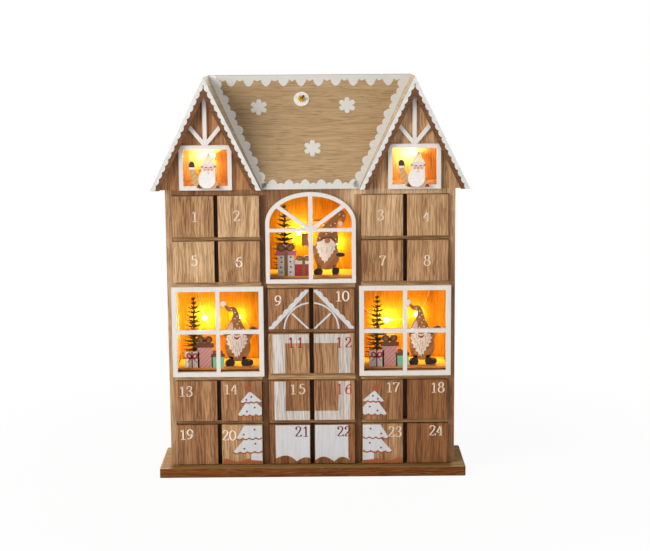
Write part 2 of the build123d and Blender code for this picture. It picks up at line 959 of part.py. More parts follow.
def make_switch_lever():
    """Toggle lever, tilted to its on side about a ball in the bushing."""
    lever = Sphere(lever_ball_radius)
    lever += Pos(0, 0, lever_length / 2) * Cylinder(lever_radius, lever_length)
    lever += Pos(0, 0, lever_length) * Sphere(lever_tip_radius)
    return [switch_plane() * Pos(0, 0, lever_pivot) * Rot(0, lever_tilt, 0) * lever]


def save(name, pieces):
    """Write a node as separate solids."""
    solids = [solid for piece in pieces for solid in piece.solids()]
    shape = solids[0] if len(solids) == 1 else Compound(solids)
    export_step(shape, os.path.join("parts", name + ".step"))


os.makedirs("parts", exist_ok=True)

save("base_board", make_base_board())
save("left_wall", make_wall(-1))
save("right_wall", make_wall(1))
save("dividers", make_dividers())
save("tier_shelves", make_tier_shelves())
save("top_board", make_top_board())
save("back_panel", make_back_panel())
save("drawer_shelves", make_drawer_shelves())
save("drawer_partitions", make_drawer_partitions())
for drawer_number, drawer_boards in make_drawers().items():
    save(f"drawer_{drawer_number:02d}", drawer_boards)
save("arch_window", make_arch_window())
save("arch_spandrels", make_arch_spandrels())
save("left_window", make_square_window(*window_cells[0]))
save("right_window", make_square_window(*window_cells[1]))
save("gable_windows", make_gable_windows())
save("gable_fronts", make_gable_fronts())
save("gable_floors", make_gable_floors())
save("gable_braces", make_gable_braces())
save("barge_boards", make_barge_boards())
save("outer_roof_boards", make_roof_boards(1, back_inner))
save("inner_roof_boards", make_roof_boards(-1, board_back))
save("roof_panel", make_roof_panel())
save("scene_plinths", make_plinths())
save("fir_trees", make_fir_trees())
save("gift_stacks", make_gift_stacks())
save("gnomes", make_gnomes())
save("gable_figures", make_gable_figures())
save("light_wire", make_light_wire())
save("light_bulbs", make_light_bulbs())
save("battery_box", make_battery_box())
save("battery_lid", make_battery_lid())
save("battery_cells", make_battery_cells())
save("battery_contacts", make_battery_contacts())
save("switch_plate", make_switch_plate())
save("switch_body", make_switch_body())
save("switch_nut", make_switch_nut())
save("switch_lever", make_switch_lever())
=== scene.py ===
import math

import bpy
import numpy as np
from mathutils import Matrix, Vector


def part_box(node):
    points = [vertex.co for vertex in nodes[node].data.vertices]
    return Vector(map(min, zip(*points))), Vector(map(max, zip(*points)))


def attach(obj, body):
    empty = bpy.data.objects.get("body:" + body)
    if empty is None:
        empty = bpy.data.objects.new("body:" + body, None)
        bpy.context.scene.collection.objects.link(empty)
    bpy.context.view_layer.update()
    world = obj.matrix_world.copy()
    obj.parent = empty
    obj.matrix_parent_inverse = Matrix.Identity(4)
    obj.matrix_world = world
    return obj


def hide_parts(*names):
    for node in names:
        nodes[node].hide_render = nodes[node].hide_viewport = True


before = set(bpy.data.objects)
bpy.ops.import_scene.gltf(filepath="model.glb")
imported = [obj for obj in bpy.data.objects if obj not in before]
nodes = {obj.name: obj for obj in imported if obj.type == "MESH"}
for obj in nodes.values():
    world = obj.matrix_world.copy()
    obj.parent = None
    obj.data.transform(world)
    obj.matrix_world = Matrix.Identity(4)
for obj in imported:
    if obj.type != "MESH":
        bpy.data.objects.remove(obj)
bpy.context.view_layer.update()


# Base board. One flat softwood board under the whole house, its long edges sanded round
# and stained a deep red-brown, its top left in the paler wood with painted light at both ends
# and painted shade along the middle. The walls are glued on it.
class Tap:
    """A socket in a material's node tree. Sums on it add Math nodes to that tree."""

    def __init__(self, tree, socket=None):
        self.tree = tree
        self.socket = socket

    def plug(self, inputs, values):
        """Sets sockets by name or number, to a value or to a link from another tap."""
        for key, value in values.items():
            if isinstance(value, Tap):
                self.tree.links.new(value.socket, inputs[key])
            else:
                inputs[key].default_value = value

    def node(self, kind, settings={}, values={}, out=0):
        """Any node: its type, its settings, its sockets' values or links, and the output wanted."""
        made = self.tree.nodes.new("ShaderNode" + kind)
        for key, value in settings.items():
            setattr(made, key, value)
        self.plug(made.inputs, values)
        return Tap(self.tree, made.outputs[out])

    def maths(self, operation, first, second):
        """A sum, product or the like of two taps or numbers."""
        return self.node("Math", {"operation": operation}, {0: first, 1: second})

    def __add__(self, other):
        return self.maths("ADD", self, other)

    def __sub__(self, other):
        return self.maths("SUBTRACT", self, other)

    def __rsub__(self, other):
        return self.maths("SUBTRACT", other, self)

    def __mul__(self, other):
        return self.maths("MULTIPLY", self, other)

    __radd__ = __add__
    __rmul__ = __mul__

    def ramp(self, low, high):
        """0 below low and 1 above high, with a smooth step between."""
        step = {"Value": self, "From Min": low, "From Max": high}
        return self.node("MapRange", {"interpolation_type": "SMOOTHSTEP"}, step)

    def mix(self, first, second):
        """Colour that goes from first to second, screen colours or taps, as this goes from 0 to 1."""
        first, second = [end if isinstance(end, Tap) else srgb(*end) for end in (first, second)]
        return self.node("Mix", {"data_type": "RGBA"}, {0: self, 6: first, 7: second}, 2)

    def noise(self, scale, detail):
        """Noise at this place, with so many swells to the metre, broken up by detail."""
        return self.node("TexNoise", {}, {"Vector": self, "Scale": scale, "Detail": detail})

    def bump(self, strength, distance):
        """Shading normal of a surface whose height is this value."""
        return self.node("Bump", {}, {"Strength": strength, "Distance": distance, "Height": self})

    def place(self):
        """Where the shaded point lies in its piece's frame, in metres."""
        return self.node("TexCoord", out="Object")

    def axis(self, letter):
        """One coordinate of this place."""
        return self.node("SeparateXYZ", {}, {0: self}, letter)


def srgb(red, green, blue):
    """Screen colour, 0 to 255, as the linear colour that a shader takes: the sRGB curve undone."""
    share = np.array((red, green, blue)) / 255
    linear = np.where(share <= 0.04045, share / 12.92, ((share + 0.055) / 1.055) ** 2.4)
    return (*linear.tolist(), 1)


def new_finish(name):
    """A material and a tap on its node tree."""
    material = bpy.data.materials.new(name)
    material.use_nodes = True
    return material, Tap(material.node_tree)


def shade(material, tap, values):
    """Plugs values or taps into the sockets of a material's shader."""
    tap.plug(material.node_tree.nodes["Principled BSDF"].inputs, values)
    return material


def grain_of(tap, along):
    """Grain: noise on a place that wanders a little and is drawn out along one axis.
    Gives slow bands, streaks and fine pores, each from 0 to 1, and the place itself."""
    sway, stretch = 0.004, 0.038
    place = tap.place()
    wander = tap.node("TexNoise", {}, {"Vector": place, "Scale": 26, "Detail": 1}, "Color")
    bent = tap.node("VectorMath", {"operation": "MULTIPLY_ADD"}, {0: wander, 1: (sway,) * 3, 2: place})
    scale = [stretch if letter == along else 1 for letter in "xyz"]
    drawn = tap.node("Mapping", {}, {"Vector": bent, "Scale": scale})
    band = drawn.noise(105, 3).ramp(0.38, 0.64)
    streak = drawn.noise(760, 3).ramp(0.42, 0.6)
    pore = drawn.noise(1500, 1).ramp(0.54, 0.7)
    return band, streak, pore, place


def wood(name, pale, deep, along, rough=0.5, *beyond):
    """Wood: bands and streaks mix a pale colour into a deep one, and pores darken and sink it.
    Each of beyond gives an axis, the two places on it between which another pair of colours takes
    over, and that pair."""
    material, tap = new_finish(name)
    band, streak, pore, place = grain_of(tap, along)
    figure = band * 0.4 + streak * 0.55
    body = figure.mix(pale, deep)
    for letter, low, high, *pair in beyond:
        body = place.axis(letter).ramp(low, high).mix(body, figure.mix(*pair))
    values = {
        "Base Color": (pore * 0.6).mix(body, np.array(deep) * 0.7),
        "Roughness": pore * 0.2 + rough,
        "Specular IOR Level": 0.25,
        "Normal": (1 - pore * 0.7 - streak * 0.2).bump(0.3, 0.0003),
    }
    return shade(material, tap, values)


def dress(material, *names):
    """Gives CAD pieces this finish in place of the plain one that they come with."""
    for name in names:
        slots = nodes[name].data.materials
        slots.clear()
        slots.append(material)


# Painted light and shade on the top: paler at the left end outside the wall, as if lit, darker as painted
# shade along the middle, paler again at the right end; below 8.8 mm the front and ends take the red-brown
# stain.
base_top_painted_shade = ("X", -0.142, -0.136, (144, 111, 70), (114, 82, 46))
base_right_painted_light = ("X", 0.133, 0.139, (182, 152, 110), (148, 119, 82))
base_front = ("Z", 0.0096, 0.0088, (131, 78, 40), (95, 52, 24))
base_stain_and_painted_light = (base_top_painted_shade, base_right_painted_light, base_front)
base_wood = wood("base_wood", (222, 184, 142), (184, 150, 112), "x", 0.5, *base_stain_and_painted_light)
shade(base_wood, Tap(base_wood.node_tree), {"Specular IOR Level": 0})
dress(base_wood, "base_board")


# Carcass. Side walls, dividers and shelves of brown veneered board, glued into nine square
# cells under one top board; the grain of uprights runs up and that of shelves across.
dress(wood("carcass_upright", (196, 161, 122), (138, 99, 64), "z"), "left_wall")
carcass_level = wood("carcass_level", (198, 161, 114), (140, 99, 58), "x")
pale_right = ("X", 0.022, 0.044, (224, 190, 150), (178, 140, 104))
pale_crown = ("Z", 0.195, 0.255, (208, 168, 126), (152, 112, 76))
pale_head = ("Z", 0.228, 0.258, (186, 142, 102), (134, 96, 64))
# Painted shadow: the right wall is darker than the left one, as if shaded by the drawers and windows; from
# 195 mm up to 255 mm it turns paler.
dress(wood("right_wall_painted_shade", (158, 114, 78), (110, 72, 44), "z", 0.5, pale_crown), "right_wall")
crown_wood = wood("crown_wood", (158, 114, 78), (110, 72, 44), "z", 0.5, pale_right)
# Painted shade: the dividers are darker than the walls, as if shaded beside the drawers, and darker still
# left of the middle; from 228 mm up to 258 mm they are paler.
left_painted_shadow = ("X", 0.005, -0.005, (116, 78, 46), (82, 52, 29))
carcass_painted_shade = wood("carcass_painted_shade", (126, 84, 48), (88, 54, 28), "z", 0.5, pale_head, left_painted_shadow)
dress(carcass_painted_shade, "dividers")
dress(crown_wood, "top_board")
dress(carcass_level, "tier_shelves")


# Back panel. One sheet of thin plywood in the outline of the house with both gables, pinned
# to the walls and to the roof boards with small domed steel pins.
# Painted glow: the niche side of the ply is coloured deep orange and, above 280 mm behind the gable
# windows, pale orange, for the warm light of the bulbs; the outer side keeps the ply's own colour.
gable_painted_glow = ("Z", 0.28, 0.284, (240, 192, 122), (222, 166, 92))
outer_side = ("Y", 0.03205, 0.0321, (214, 178, 130), (184, 144, 100))
dress(wood("ply_painted_glow", (230, 156, 12), (212, 126, 4), "z", 0.6, gable_painted_glow, outer_side), "back_panel")


def mottled(name, first, second, noise, rough, swing, span=(0.3, 0.7), bump=(), **plain):
    """Finish that one noise moves: from the first colour to the second, up in roughness by swing
    and, with a bump's strength and distance, in height. Plain values stay the same all over."""
    material, tap = new_finish(name)
    cloud = tap.place().noise(*noise).ramp(*span)
    look = {"Base Color": cloud.mix(first, second), "Roughness": cloud * swing + rough}
    if bump:
        look["Normal"] = cloud.bump(*bump)
    return shade(material, tap, look | plain)


pin_steel = mottled("pin_steel", (150, 148, 146), (196, 194, 192), (2600, 2), 0.3, 0.2, Metallic=1)
scene = bpy.context.scene


def add_piece(name, points, faces, material, body="house"):
    """A piece from points in millimetres and faces, with its material, put on a body."""
    mesh = bpy.data.meshes.new(name)
    mesh.from_pydata((np.asarray(points) / 1000).tolist(), [], faces)
    mesh.materials.append(material)
    mesh.validate()
    piece = bpy.data.objects.new(name, mesh)
    scene.collection.objects.link(piece)
    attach(piece, body)
    return piece


def lofted(rings):
    """Closed bodies, one for each row of rings: the points of a ring are joined to those of the
    next, and the first and last ring are closed by a flat face."""
    index = np.arange(rings[..., 0].size).reshape(rings.shape[:3])
    turn = np.roll(index, -1, 2)
    quads = np.stack((index[:, :-1], turn[:, :-1], turn[:, 1:], index[:, 1:]), -1).reshape(-1, 4)
    caps = np.concatenate((index[:, 0, ::-1], index[:, -1]))
    return rings.reshape(-1, 3), quads.tolist() + caps.tolist()


def turned(profile, sides):
    """A turned form: a profile of (radius, out) pairs is carried once round the out axis."""
    radius, out = np.array(profile, float).T[..., None]
    angle = np.linspace(0, 2 * np.pi, sides, endpoint=False)
    rings = np.stack((radius * np.cos(angle), radius * np.sin(angle), out + 0 * angle), -1)
    return lofted(rings[None])


def repeated(points, faces, places):
    """Copies of a form, one moved to each place."""
    shift = np.arange(len(places)) * len(points)
    many = (points[None] + np.asarray(places, float)[:, None]).reshape(-1, 3)
    return many, [[corner + step for corner in face] for step in shift.tolist() for face in faces]


pin_profile = [(1.6, -0.6), (1.6, 0.1), (1.45, 0.5), (1, 0.8), (0.4, 0.95)]
pin_points, pin_faces = turned(pin_profile, 12)
pin_points = pin_points[:, (0, 2, 1)] * (-1, 1, 1)
back_face = 35
wall_half = 136.5
pin_levels = (22, 84, 146, 208, 270)
gable_centres = {"left": -100, "right": 100}
gable_half, gable_run = 47.5, 48
gable_foot, gable_rise = 284, 97.5
wall_pins = [(side * wall_half, back_face, up) for side in (-1, 1) for up in pin_levels]
gable_pins = [
    (centre + side * (gable_half - share * gable_run), back_face, gable_foot + share * gable_rise)
    for centre in gable_centres.values()
    for side in (-1, 1)
    for share in (0.04, 0.52, 0.8)
]
points, faces = repeated(pin_points, pin_faces, wall_pins + gable_pins)
add_piece("back_pins", points, faces, pin_steel)


# Lights. Eight small warm bulbs on one thin enamelled wire that is held along the inside of
# the back panel, with a short lead from the battery box to the switch.
# The wire's colour is lifted to near white gold: partly the enamel's own colour, partly a painted sheen
# for its lit look.
wire_colour_and_painted_sheen = ((255, 214, 130), (226, 176, 92), (900, 1), 0.25, 0.15, (0.35, 0.65))
dress(mottled("wire_enamel_painted_sheen", *wire_colour_and_painted_sheen, Metallic=0.2), "light_wire")
lit_bulb, tap = new_finish("lit_bulb")
core = tap.place().axis("Y").ramp(0.0205, 0.029)
bulb_look = {
    "Base Color": srgb(255, 236, 196),
    "Emission Color": core.mix((255, 246, 214), (255, 190, 92)),
    "Emission Strength": 9,
    "Roughness": 0.15,
}
shade(lit_bulb, tap, bulb_look)
dress(lit_bulb, "light_bulbs")


def lamp(name, kind, place, power, colour, **settings):
    """A lamp at a place in millimetres, which the camera doesn't see."""
    light = bpy.data.lights.new(name, kind)
    light.energy = power
    light.color = colour
    for key, value in settings.items():
        setattr(light, key, value)
    made = bpy.data.objects.new(name, light)
    made.location = np.array(place) / 1000
    made.visible_camera = False
    scene.collection.objects.link(made)
    return made


def panel_lamp(name, place, wide, tall, power, colour, lean=0, swing=0):
    """A lamp as large as a rectangle. It shines down, until lean and swing turn it, in degrees."""
    size = {"shape": "RECTANGLE", "size": wide / 1000, "size_y": tall / 1000}
    made = lamp(name, "AREA", place, power, colour, **size)
    made.rotation_euler = (math.radians(lean), math.radians(swing), 0)


bulb_lights = [
    (-104, 312, 0.06), (-108, 147, 0.054), (-74, 148, 0.018), (-12.5, 233, 0.056),
    (24, 222, 0.03), (75, 143.5, 0.054), (105.5, 149, 0.016), (98.5, 312, 0.06),
]
bulb_depth = 24
bulb_shift = 4.2
bulb_size = 0.0015
bay_light, gable_light = (1, 0.86, 0.34), (1, 0.66, 0.34)
for number, (across, up, power) in enumerate(bulb_lights):
    colour = gable_light if up > gable_foot else bay_light
    for side in (-1, 1):
        place = (across + bulb_shift * side, bulb_depth, up)
        name = f"bulb_light_{number}_{side + 1}"
        lamp(name, "POINT", place, power / 2, colour, shadow_soft_size=bulb_size)
glow_boxes = [
    (-100, 304, 44, 32), (-91, 144, 78, 76), (0, 234, 78, 76), (91, 144, 78, 76), (100, 304, 44, 32),
]
glow_depth, glow_power, glow_light = 12, 0.9e-6, (1, 0.58, 0.14)
floor_places, floor_pane = [(-91, 119), (0, 210), (91, 119)], (74, 26)
floor_power, floor_light = 0.009, (1, 0.74, 0.22)
side_place, side_pane = (122, 4, 146), (80, 40)
side_power, side_light = 0.022, (1, 0.84, 0.4)
for number, (across, up, wide, tall) in enumerate(glow_boxes):
    power = glow_power * wide * tall
    panel_lamp(f"glow_{number}", (across, glow_depth, up), wide, tall, power, glow_light, 90)
for number, (across, up) in enumerate(floor_places):
    panel_lamp(f"floor_glow_{number}", (across, glow_depth, up), *floor_pane, floor_power, floor_light)
for side in (-1, 1):
    place = np.array(side_place) * (side, 1, 1)
    panel_lamp(f"side_glow_{side + 1}", place, *side_pane, side_power, side_light, 0, -90 * side)


# Floors and fir trees. A thin board on a recessed batten makes a raised floor behind each large
# window; on it stands a small brush tree of dyed fibre twigs on a twisted stem.
# Painted glow: the floors are coloured orange and turn bright yellow towards the back, as if lit by the
# bulbs.
plinth_back_painted_glow = ("Y", -0.01, 0.002, (250, 208, 76), (232, 176, 44))
dress(wood("plinth_painted_glow", (222, 154, 78), (190, 118, 50), "x", 0.6, plinth_back_painted_glow), "scene_plinths")
bay_centres = {"left": -91, "arch": 0, "right": 91}
plinth_tops = {"left": 104.8, "arch": 195.8, "right": 104.8}
fir_fibre, tap = new_finish("fir_fibre")
place = tap.place()
fibre_look = {
    "Base Color": place.noise(420, 3).ramp(0.35, 0.7).mix((34, 56, 22), (86, 104, 40)),
    "Roughness": place.noise(900, 1) * 0.3 + 0.55,
}
shade(fir_fibre, tap, fibre_look)


def brush_twigs(height, reach, levels, around):
    """Twigs of a brush tree, in rings up the stem. Along a twig, u from 0 to 1, it runs out, climbs
    with u near the top of the tree and droops with u near its foot, and lifts again with u squared;
    its half width tapers and swings with a saw of u, as combed fibre does."""
    ring = np.repeat(np.arange(levels), around)[:, None]
    spoke = np.tile(np.arange(around), levels)[:, None]
    rise = 0.09 + 0.88 * (ring + 0.16 * np.sin(2.4 * spoke + ring)) / (levels - 1)
    turn = 2 * np.pi * spoke / around + 0.9 * ring
    u = np.linspace(0, 1, 15)[None]
    length = np.minimum(1.36 * reach * np.maximum(1.03 - rise, 0.01) ** 0.66, reach)
    length = length * (0.9 + 0.1 * np.cos(1.7 * spoke + ring))
    saw = np.arange(15)[None] % 2
    half = np.maximum((0.42 + 0.035 * length) * (1 - u) ** 0.4 * (0.5 + 1.1 * saw), 0.1)
    thick = 0.9 * half
    out = 0.5 + (length - 0.5) * u
    lift = height * rise + length * (0.22 * u ** 2 + 0.55 * (rise - 0.6) * u)
    centre = np.stack((np.cos(turn) * out, np.sin(turn) * out, lift), -1)
    side = np.stack((-np.sin(turn) + 0 * u, np.cos(turn) + 0 * u, 0 * (turn + u)), -1) * half[..., None]
    above = np.stack((0 * half, 0 * half, thick), -1)
    return np.stack((centre + side, centre + above, centre - side, centre - above), 2)


fir_height = 68
fir_reach = 12.9
fir_offset = -26
fir_depth = 4
blade_points, blade_faces = lofted(brush_twigs(fir_height, fir_reach, 14, 9))
stem_profile = [(1.6, 0), (1.6, 2), (1.4, 6), (1, 40), (0.35, fir_height)]
stem_points, stem_faces = turned(stem_profile, 8)
tree_points = np.concatenate((blade_points, stem_points))
tree_faces = blade_faces + [[corner + len(blade_points) for corner in face] for face in stem_faces]
feet = [(bay_centres[bay] + fir_offset, fir_depth, plinth_tops[bay]) for bay in bay_centres]
points, faces = repeated(tree_points, tree_faces, feet)
trees = add_piece("brush_trees", points, faces, fir_fibre)
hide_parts("fir_trees")


# Gift stacks. Cut-outs of thin board that stand in front of the trees, printed with boxes,
# ribbons and bows; each print is a thin film of colour on the front of its board.
cut_board = wood("cut_board", (190, 140, 92), (140, 94, 56), "z", 0.6)
dress(cut_board, "gift_stacks", "gnomes", "gable_figures")


def print_ink(name, colour, partner=None, stripes=0):
    """Printed colour with a little mottle. With stripes, a partner colour comes and goes along a
    slanted line of the face, as often in a metre as stripes says."""
    material, tap = new_finish(name)
    place = tap.place()
    mottle = place.noise(700, 3).ramp(0.3, 0.75)
    tone = mottle.mix(colour, np.array(colour) * 0.94)
    if stripes:
        slant = (place.axis("X") - place.axis("Z")) * (stripes * 2 * math.pi)
        wave = tap.node("Math", {"operation": "SINE"}, {0: slant})
        tone = wave.ramp(-0.15, 0.15).mix(tone, partner)
    return shade(material, tap, {"Base Color": tone, "Roughness": mottle * 0.15 + 0.55})


def facing(level):
    """Lays (across, up) points on a face that looks to the front at depth level, raised by out."""
    def laid(flat, out):
        return np.column_stack((flat[:, 0], np.full(len(flat), level - out), flat[:, 1]))
    return laid


def cutouts(outlines, laid, foot, lift):
    """Flat pieces: each closed outline, turned the same way round, is carried straight off its
    face from foot to foot plus lift, with a flat cap at each end."""
    points, faces, start = [], [], 0
    for flat in outlines:
        flat = np.asarray(flat, float)
        after = np.roll(flat, -1, 0)
        if np.sum(flat[:, 0] * after[:, 1] - after[:, 0] * flat[:, 1]) < 0:
            flat = flat[::-1]
        count = len(flat)
        low = start + np.arange(count)
        high = low + count
        walls = np.stack((low, np.roll(low, -1), np.roll(high, -1), high), 1)
        points += [laid(flat, foot), laid(flat, foot + lift)]
        faces += [high.tolist(), low[::-1].tolist()] + walls.tolist()
        start += 2 * count
    return np.concatenate(points), faces


film_sink, film_lift, film_step = 0.05, 0.13, 0.06


def films(name, outlines, laid, layer, material, body="house"):
    """A print or a coat of paint: thin cut-outs on a face, each layer a little above the last."""
    points, faces = cutouts(outlines, laid, -film_sink, film_lift + film_step * layer)
    add_piece(name, points, faces, material, body)


def swept(wide, tall, angle):
    """Points at angles: one reach times the cosine across, the other times the sine up."""
    return np.column_stack((wide * np.cos(angle), tall * np.sin(angle)))


def oval(across, up, wide, tall, sides=28):
    """Ellipse of a width and height about a centre."""
    return swept(wide / 2, tall / 2, np.linspace(0, 2 * np.pi, sides, endpoint=False)) + (across, up)


def dots(spots, wide, tall, sides):
    """Equal ovals, one about each spot."""
    return [oval(*spot, wide, tall, sides) for spot in spots]


def oblong(across, up, wide, tall):
    """Rectangle of a width and height about a centre."""
    corners = np.array(((-1, -1), (1, -1), (1, 1), (-1, 1))) / 2
    return corners * (wide, tall) + (across, up)


def smooth(points, closed=False, steps=8):
    """Curve through points: on each span the cubic whose slope at a point is half the step
    between that point's two neighbours."""
    points = np.asarray(points, float)
    if closed:
        padded = np.vstack((points[-1:], points, points[:2]))
    else:
        padded = np.vstack((2 * points[0] - points[1], points, 2 * points[-1] - points[-2]))
    a, b, c, d = padded[:-3], padded[1:-2], padded[2:-1], padded[3:]
    t = np.linspace(0, 1, steps, endpoint=False)[:, None, None]
    curve = b + 0.5 * t * (c - a + t * (2 * a - 5 * b + 4 * c - d + t * (3 * b - a - 3 * c + d)))
    curve = curve.transpose(1, 0, 2).reshape(-1, 2)
    return curve if closed else np.vstack((curve, points[-1:]))


def pen(points, thick, thin):
    """Pen stroke along points: its width is thick where it runs up or down and thin where it runs
    across, and its outline is one side of the stroke followed by the other side back."""
    points = np.asarray(points, float)
    step = np.gradient(points, axis=0)
    step /= np.maximum(np.hypot(*step.T), 1e-9)[:, None]
    half = (thin + (thick - thin) * np.abs(step[:, 1]) ** 1.4) / 2
    side = np.column_stack((step[:, 1], -step[:, 0])) * half[:, None]
    return np.vstack((points + side, (points - side)[::-1]))


inks = {}


def add_inks(**looks):
    """Inks by name, each from its colour and, where it has stripes, a partner and how many."""
    inks.update({name: print_ink(name, *look) for name, look in looks.items()})


def printed(name, prints, size, corner, face):
    """A cut-out's prints, drawn in hundredths of its size from the middle of its foot."""
    for number, (ink, layer, outlines) in enumerate(prints):
        placed = [np.asarray(outline) * size / 100 + corner for outline in outlines]
        films(f"{name}_print_{number}", placed, facing(face), layer, inks[ink])


gift_size = (39, 32)
gift_offset = -15
gift_face = -12.25
add_inks(
    gift_white=[(216, 210, 206)], gift_pink=[(212, 156, 150), (192, 130, 120), 240],
    gift_mint=[(122, 194, 152)], gift_brown=[(104, 58, 26)], gift_red=[(166, 44, 44)],
    gift_rose=[(190, 96, 110)], gift_gold=[(132, 92, 34)],
)


def bow(across, up, wide, tall, filled=False):
    """Ribbon bow: two loops as pen strokes that leave and meet in the middle, and a knot; or, filled,
    the areas inside the loops."""
    loop = np.array(((0.04, 0), (0.28, 0.42), (0.48, 0.3), (0.46, -0.06), (0.26, -0.3), (0.04, -0.04)))
    right = smooth(loop) * (wide, tall) + (across, up)
    left = smooth(loop * (-1, 1)) * (wide, tall) + (across, up)
    if filled:
        return [right, left]
    band = 0.16 * min(wide, tall)
    knot = oval(across, up - 0.05 * tall, band * 2, band * 2)
    return [pen(right, band * 1.3, band), pen(left, band * 1.3, band), knot]


ribbon_tails = [[(-31, 34), (-36, 26), (-43, 17)], [(-31, 34), (-26, 26), (-19, 17)]]
square_gifts = [
    ("gift_white", 0, [oblong(-31, 25, 37, 50)]),
    ("gift_pink", 0, [oblong(2, 32, 38, 64)]),
    ("gift_mint", 0, [oblong(34, 18, 32, 36)]),
    ("gift_brown", 1, [oblong(2, 70, 46, 14), oblong(34, 38, 35, 10)]),
    ("gift_red", 1, [oblong(-31, 25, 3.5, 50), oblong(-31, 31, 37, 4.5)]),
    ("gift_gold", 1, bow(2, 85, 34, 26, True) + bow(34, 46, 22, 16, True)),
    ("gift_brown", 2, bow(2, 85, 34, 26) + bow(34, 46, 22, 16)),
    ("gift_red", 2, bow(-31, 35, 25, 22) + [pen(smooth(tail), 2.2, 1.8) for tail in ribbon_tails]),
]
spots = [(-35, 12), (-13, 12), (-37, 27), (-12, 28), (-35, 43), (-13, 44), (-36, 57), (-12, 58)]
arch_gifts = [
    ("gift_white", 0, [oblong(-24, 34, 42, 68), oblong(20, 42, 50, 12)]),
    ("gift_red", 0, [oblong(20, 18, 46, 36)]),
    ("gift_rose", 1, [oblong(-24, 70, 50, 14)]),
    ("gift_brown", 1, dots(spots, 5, 5.5, 12)),
    ("gift_gold", 2, [oblong(-24, 38, 9, 76), oblong(20, 24, 7, 48)]),
    ("gift_gold", 2, bow(-24, 85, 40, 26, True)),
    ("gift_brown", 3, bow(-24, 85, 40, 26)),
    ("gift_gold", 3, bow(20, 53, 34, 18)),
]
for bay, prints in (("left", square_gifts), ("arch", arch_gifts), ("right", square_gifts)):
    corner = (bay_centres[bay] + gift_offset, plinth_tops[bay])
    printed(f"{bay}_gift", prints, gift_size, corner, gift_face)


# Gnomes. Cut-outs beside the gifts, printed with a bent spotted hat, a round nose, a ragged
# beard, a coat, mittens and curled boots; the one behind the arch holds up a lantern.
gnome_size = (29, 67.5)
gnome_face = -6.25
gnome_offsets = {"left": 17, "arch": 15, "right": 17}
add_inks(
    hat_brown=[(168, 112, 58), (150, 94, 46), 120], hat_brim=[(116, 66, 34)], hat_rose=[(222, 186, 164)],
    coat_brown=[(182, 122, 66), (162, 104, 52), 90], beard_cream=[(255, 242, 226)],
    beard_line=[(176, 140, 112)], boot_black=[(30, 22, 20)], nose_gold=[(186, 128, 70)],
    mouth_red=[(168, 34, 32)], spot_white=[(246, 230, 206)],
)


def rounded(*edges):
    """Smooth closed curves, one through the points of each edge."""
    return [smooth(edge, True) for edge in edges]


def ragged(edge, teeth, deep):
    """A smooth closed edge broken into hair tips: points in turn are drawn in towards the middle."""
    line = smooth(edge, True, teeth)
    middle = line.mean(0)
    inward = np.where(np.arange(len(line)) % 2, deep, 0)[:, None]
    return line + (middle - line) * inward


gnome_hat = [
    (-40, 47.5), (0, 49), (38, 47.5), (29, 54.5), (14, 66.5), (6.5, 77), (-0.5, 83.5), (-10, 87),
    (-25, 86), (-38, 90.5), (-40, 88.5), (-32, 84), (-24.5, 82.2), (-14, 82.2), (-10.5, 76.5), (-16.5, 69),
    (-28.5, 60.5), (-37, 53.5),
]
gnome_brim = [
    (-41, 45), (-20, 47.5), (0, 48.5), (20, 47.5), (39, 45), (37.5, 49), (20, 51), (0, 52), (-20, 51),
    (-38.5, 49),
]
gnome_cheek = [(-33, 51.5), (-16, 52.5), (-12, 60), (-17, 66), (-27, 60)]
gnome_beard = [
    (-38, 48), (-39, 41), (-35, 33), (-27, 26), (-18, 20), (-8, 13), (0, 11.5), (9, 15),
    (17, 21), (27, 28), (35, 34), (38.5, 41), (37, 48), (18, 50), (0, 48), (-18, 50),
]
gnome_sleeve = [(22, 33), (34, 31.5), (58, 50.5), (50.5, 54), (36, 45)]
gnome_boots = [
    [(-30, 10), (-13, 10), (-10, 3), (-15, 0.4), (-36, 0.4), (-40, 3.5), (-34, 7)],
    [(18, 10), (33, 10), (40, 7.2), (49, 9.8), (53, 5.5), (46, 1.2), (20, 0.4), (15.5, 3.5)],
]
gnome_mitten = [(44, 53.5), (50, 51.5), (62, 52.5), (69, 54.5), (62, 56.5), (56, 58), (49, 56)]
gnome_mouth = [(-10, 44.6), (0, 42.8), (10, 44.6), (6.5, 41.2), (0, 39.8), (-6.5, 41.2)]
gnome_spots = [
    (-6, 56), (10, 57), (22, 55), (2, 63), (9, 67), (-6, 71), (2, 74.5), (-5, 80), (-17, 84.5),
]
strand_rows = [
    (-30, 45, 3, 7), (-24, 40, 4, 8), (-17, 46, 1, 6), (-15, 36, 3, 9), (-10, 43, -2, 5),
    (-8, 30, 3, 8), (-3, 37, 1, 7), (0, 25, 0, 7), (5, 35, -2, 8), (12, 45, 2, 5),
    (10, 29, -3, 7), (16, 39, -2, 9), (21, 47, 1, 5), (24, 38, -4, 8), (30, 44, -3, 7),
    (-20, 29, 4, 6), (19, 28, -4, 5),
]
strand_bend = 1.4
gnome_strands = [
    [(a, u), (a + lean / 2 + strand_bend, u - reach / 2), (a + lean, u - reach)]
    for a, u, lean, reach in strand_rows
]
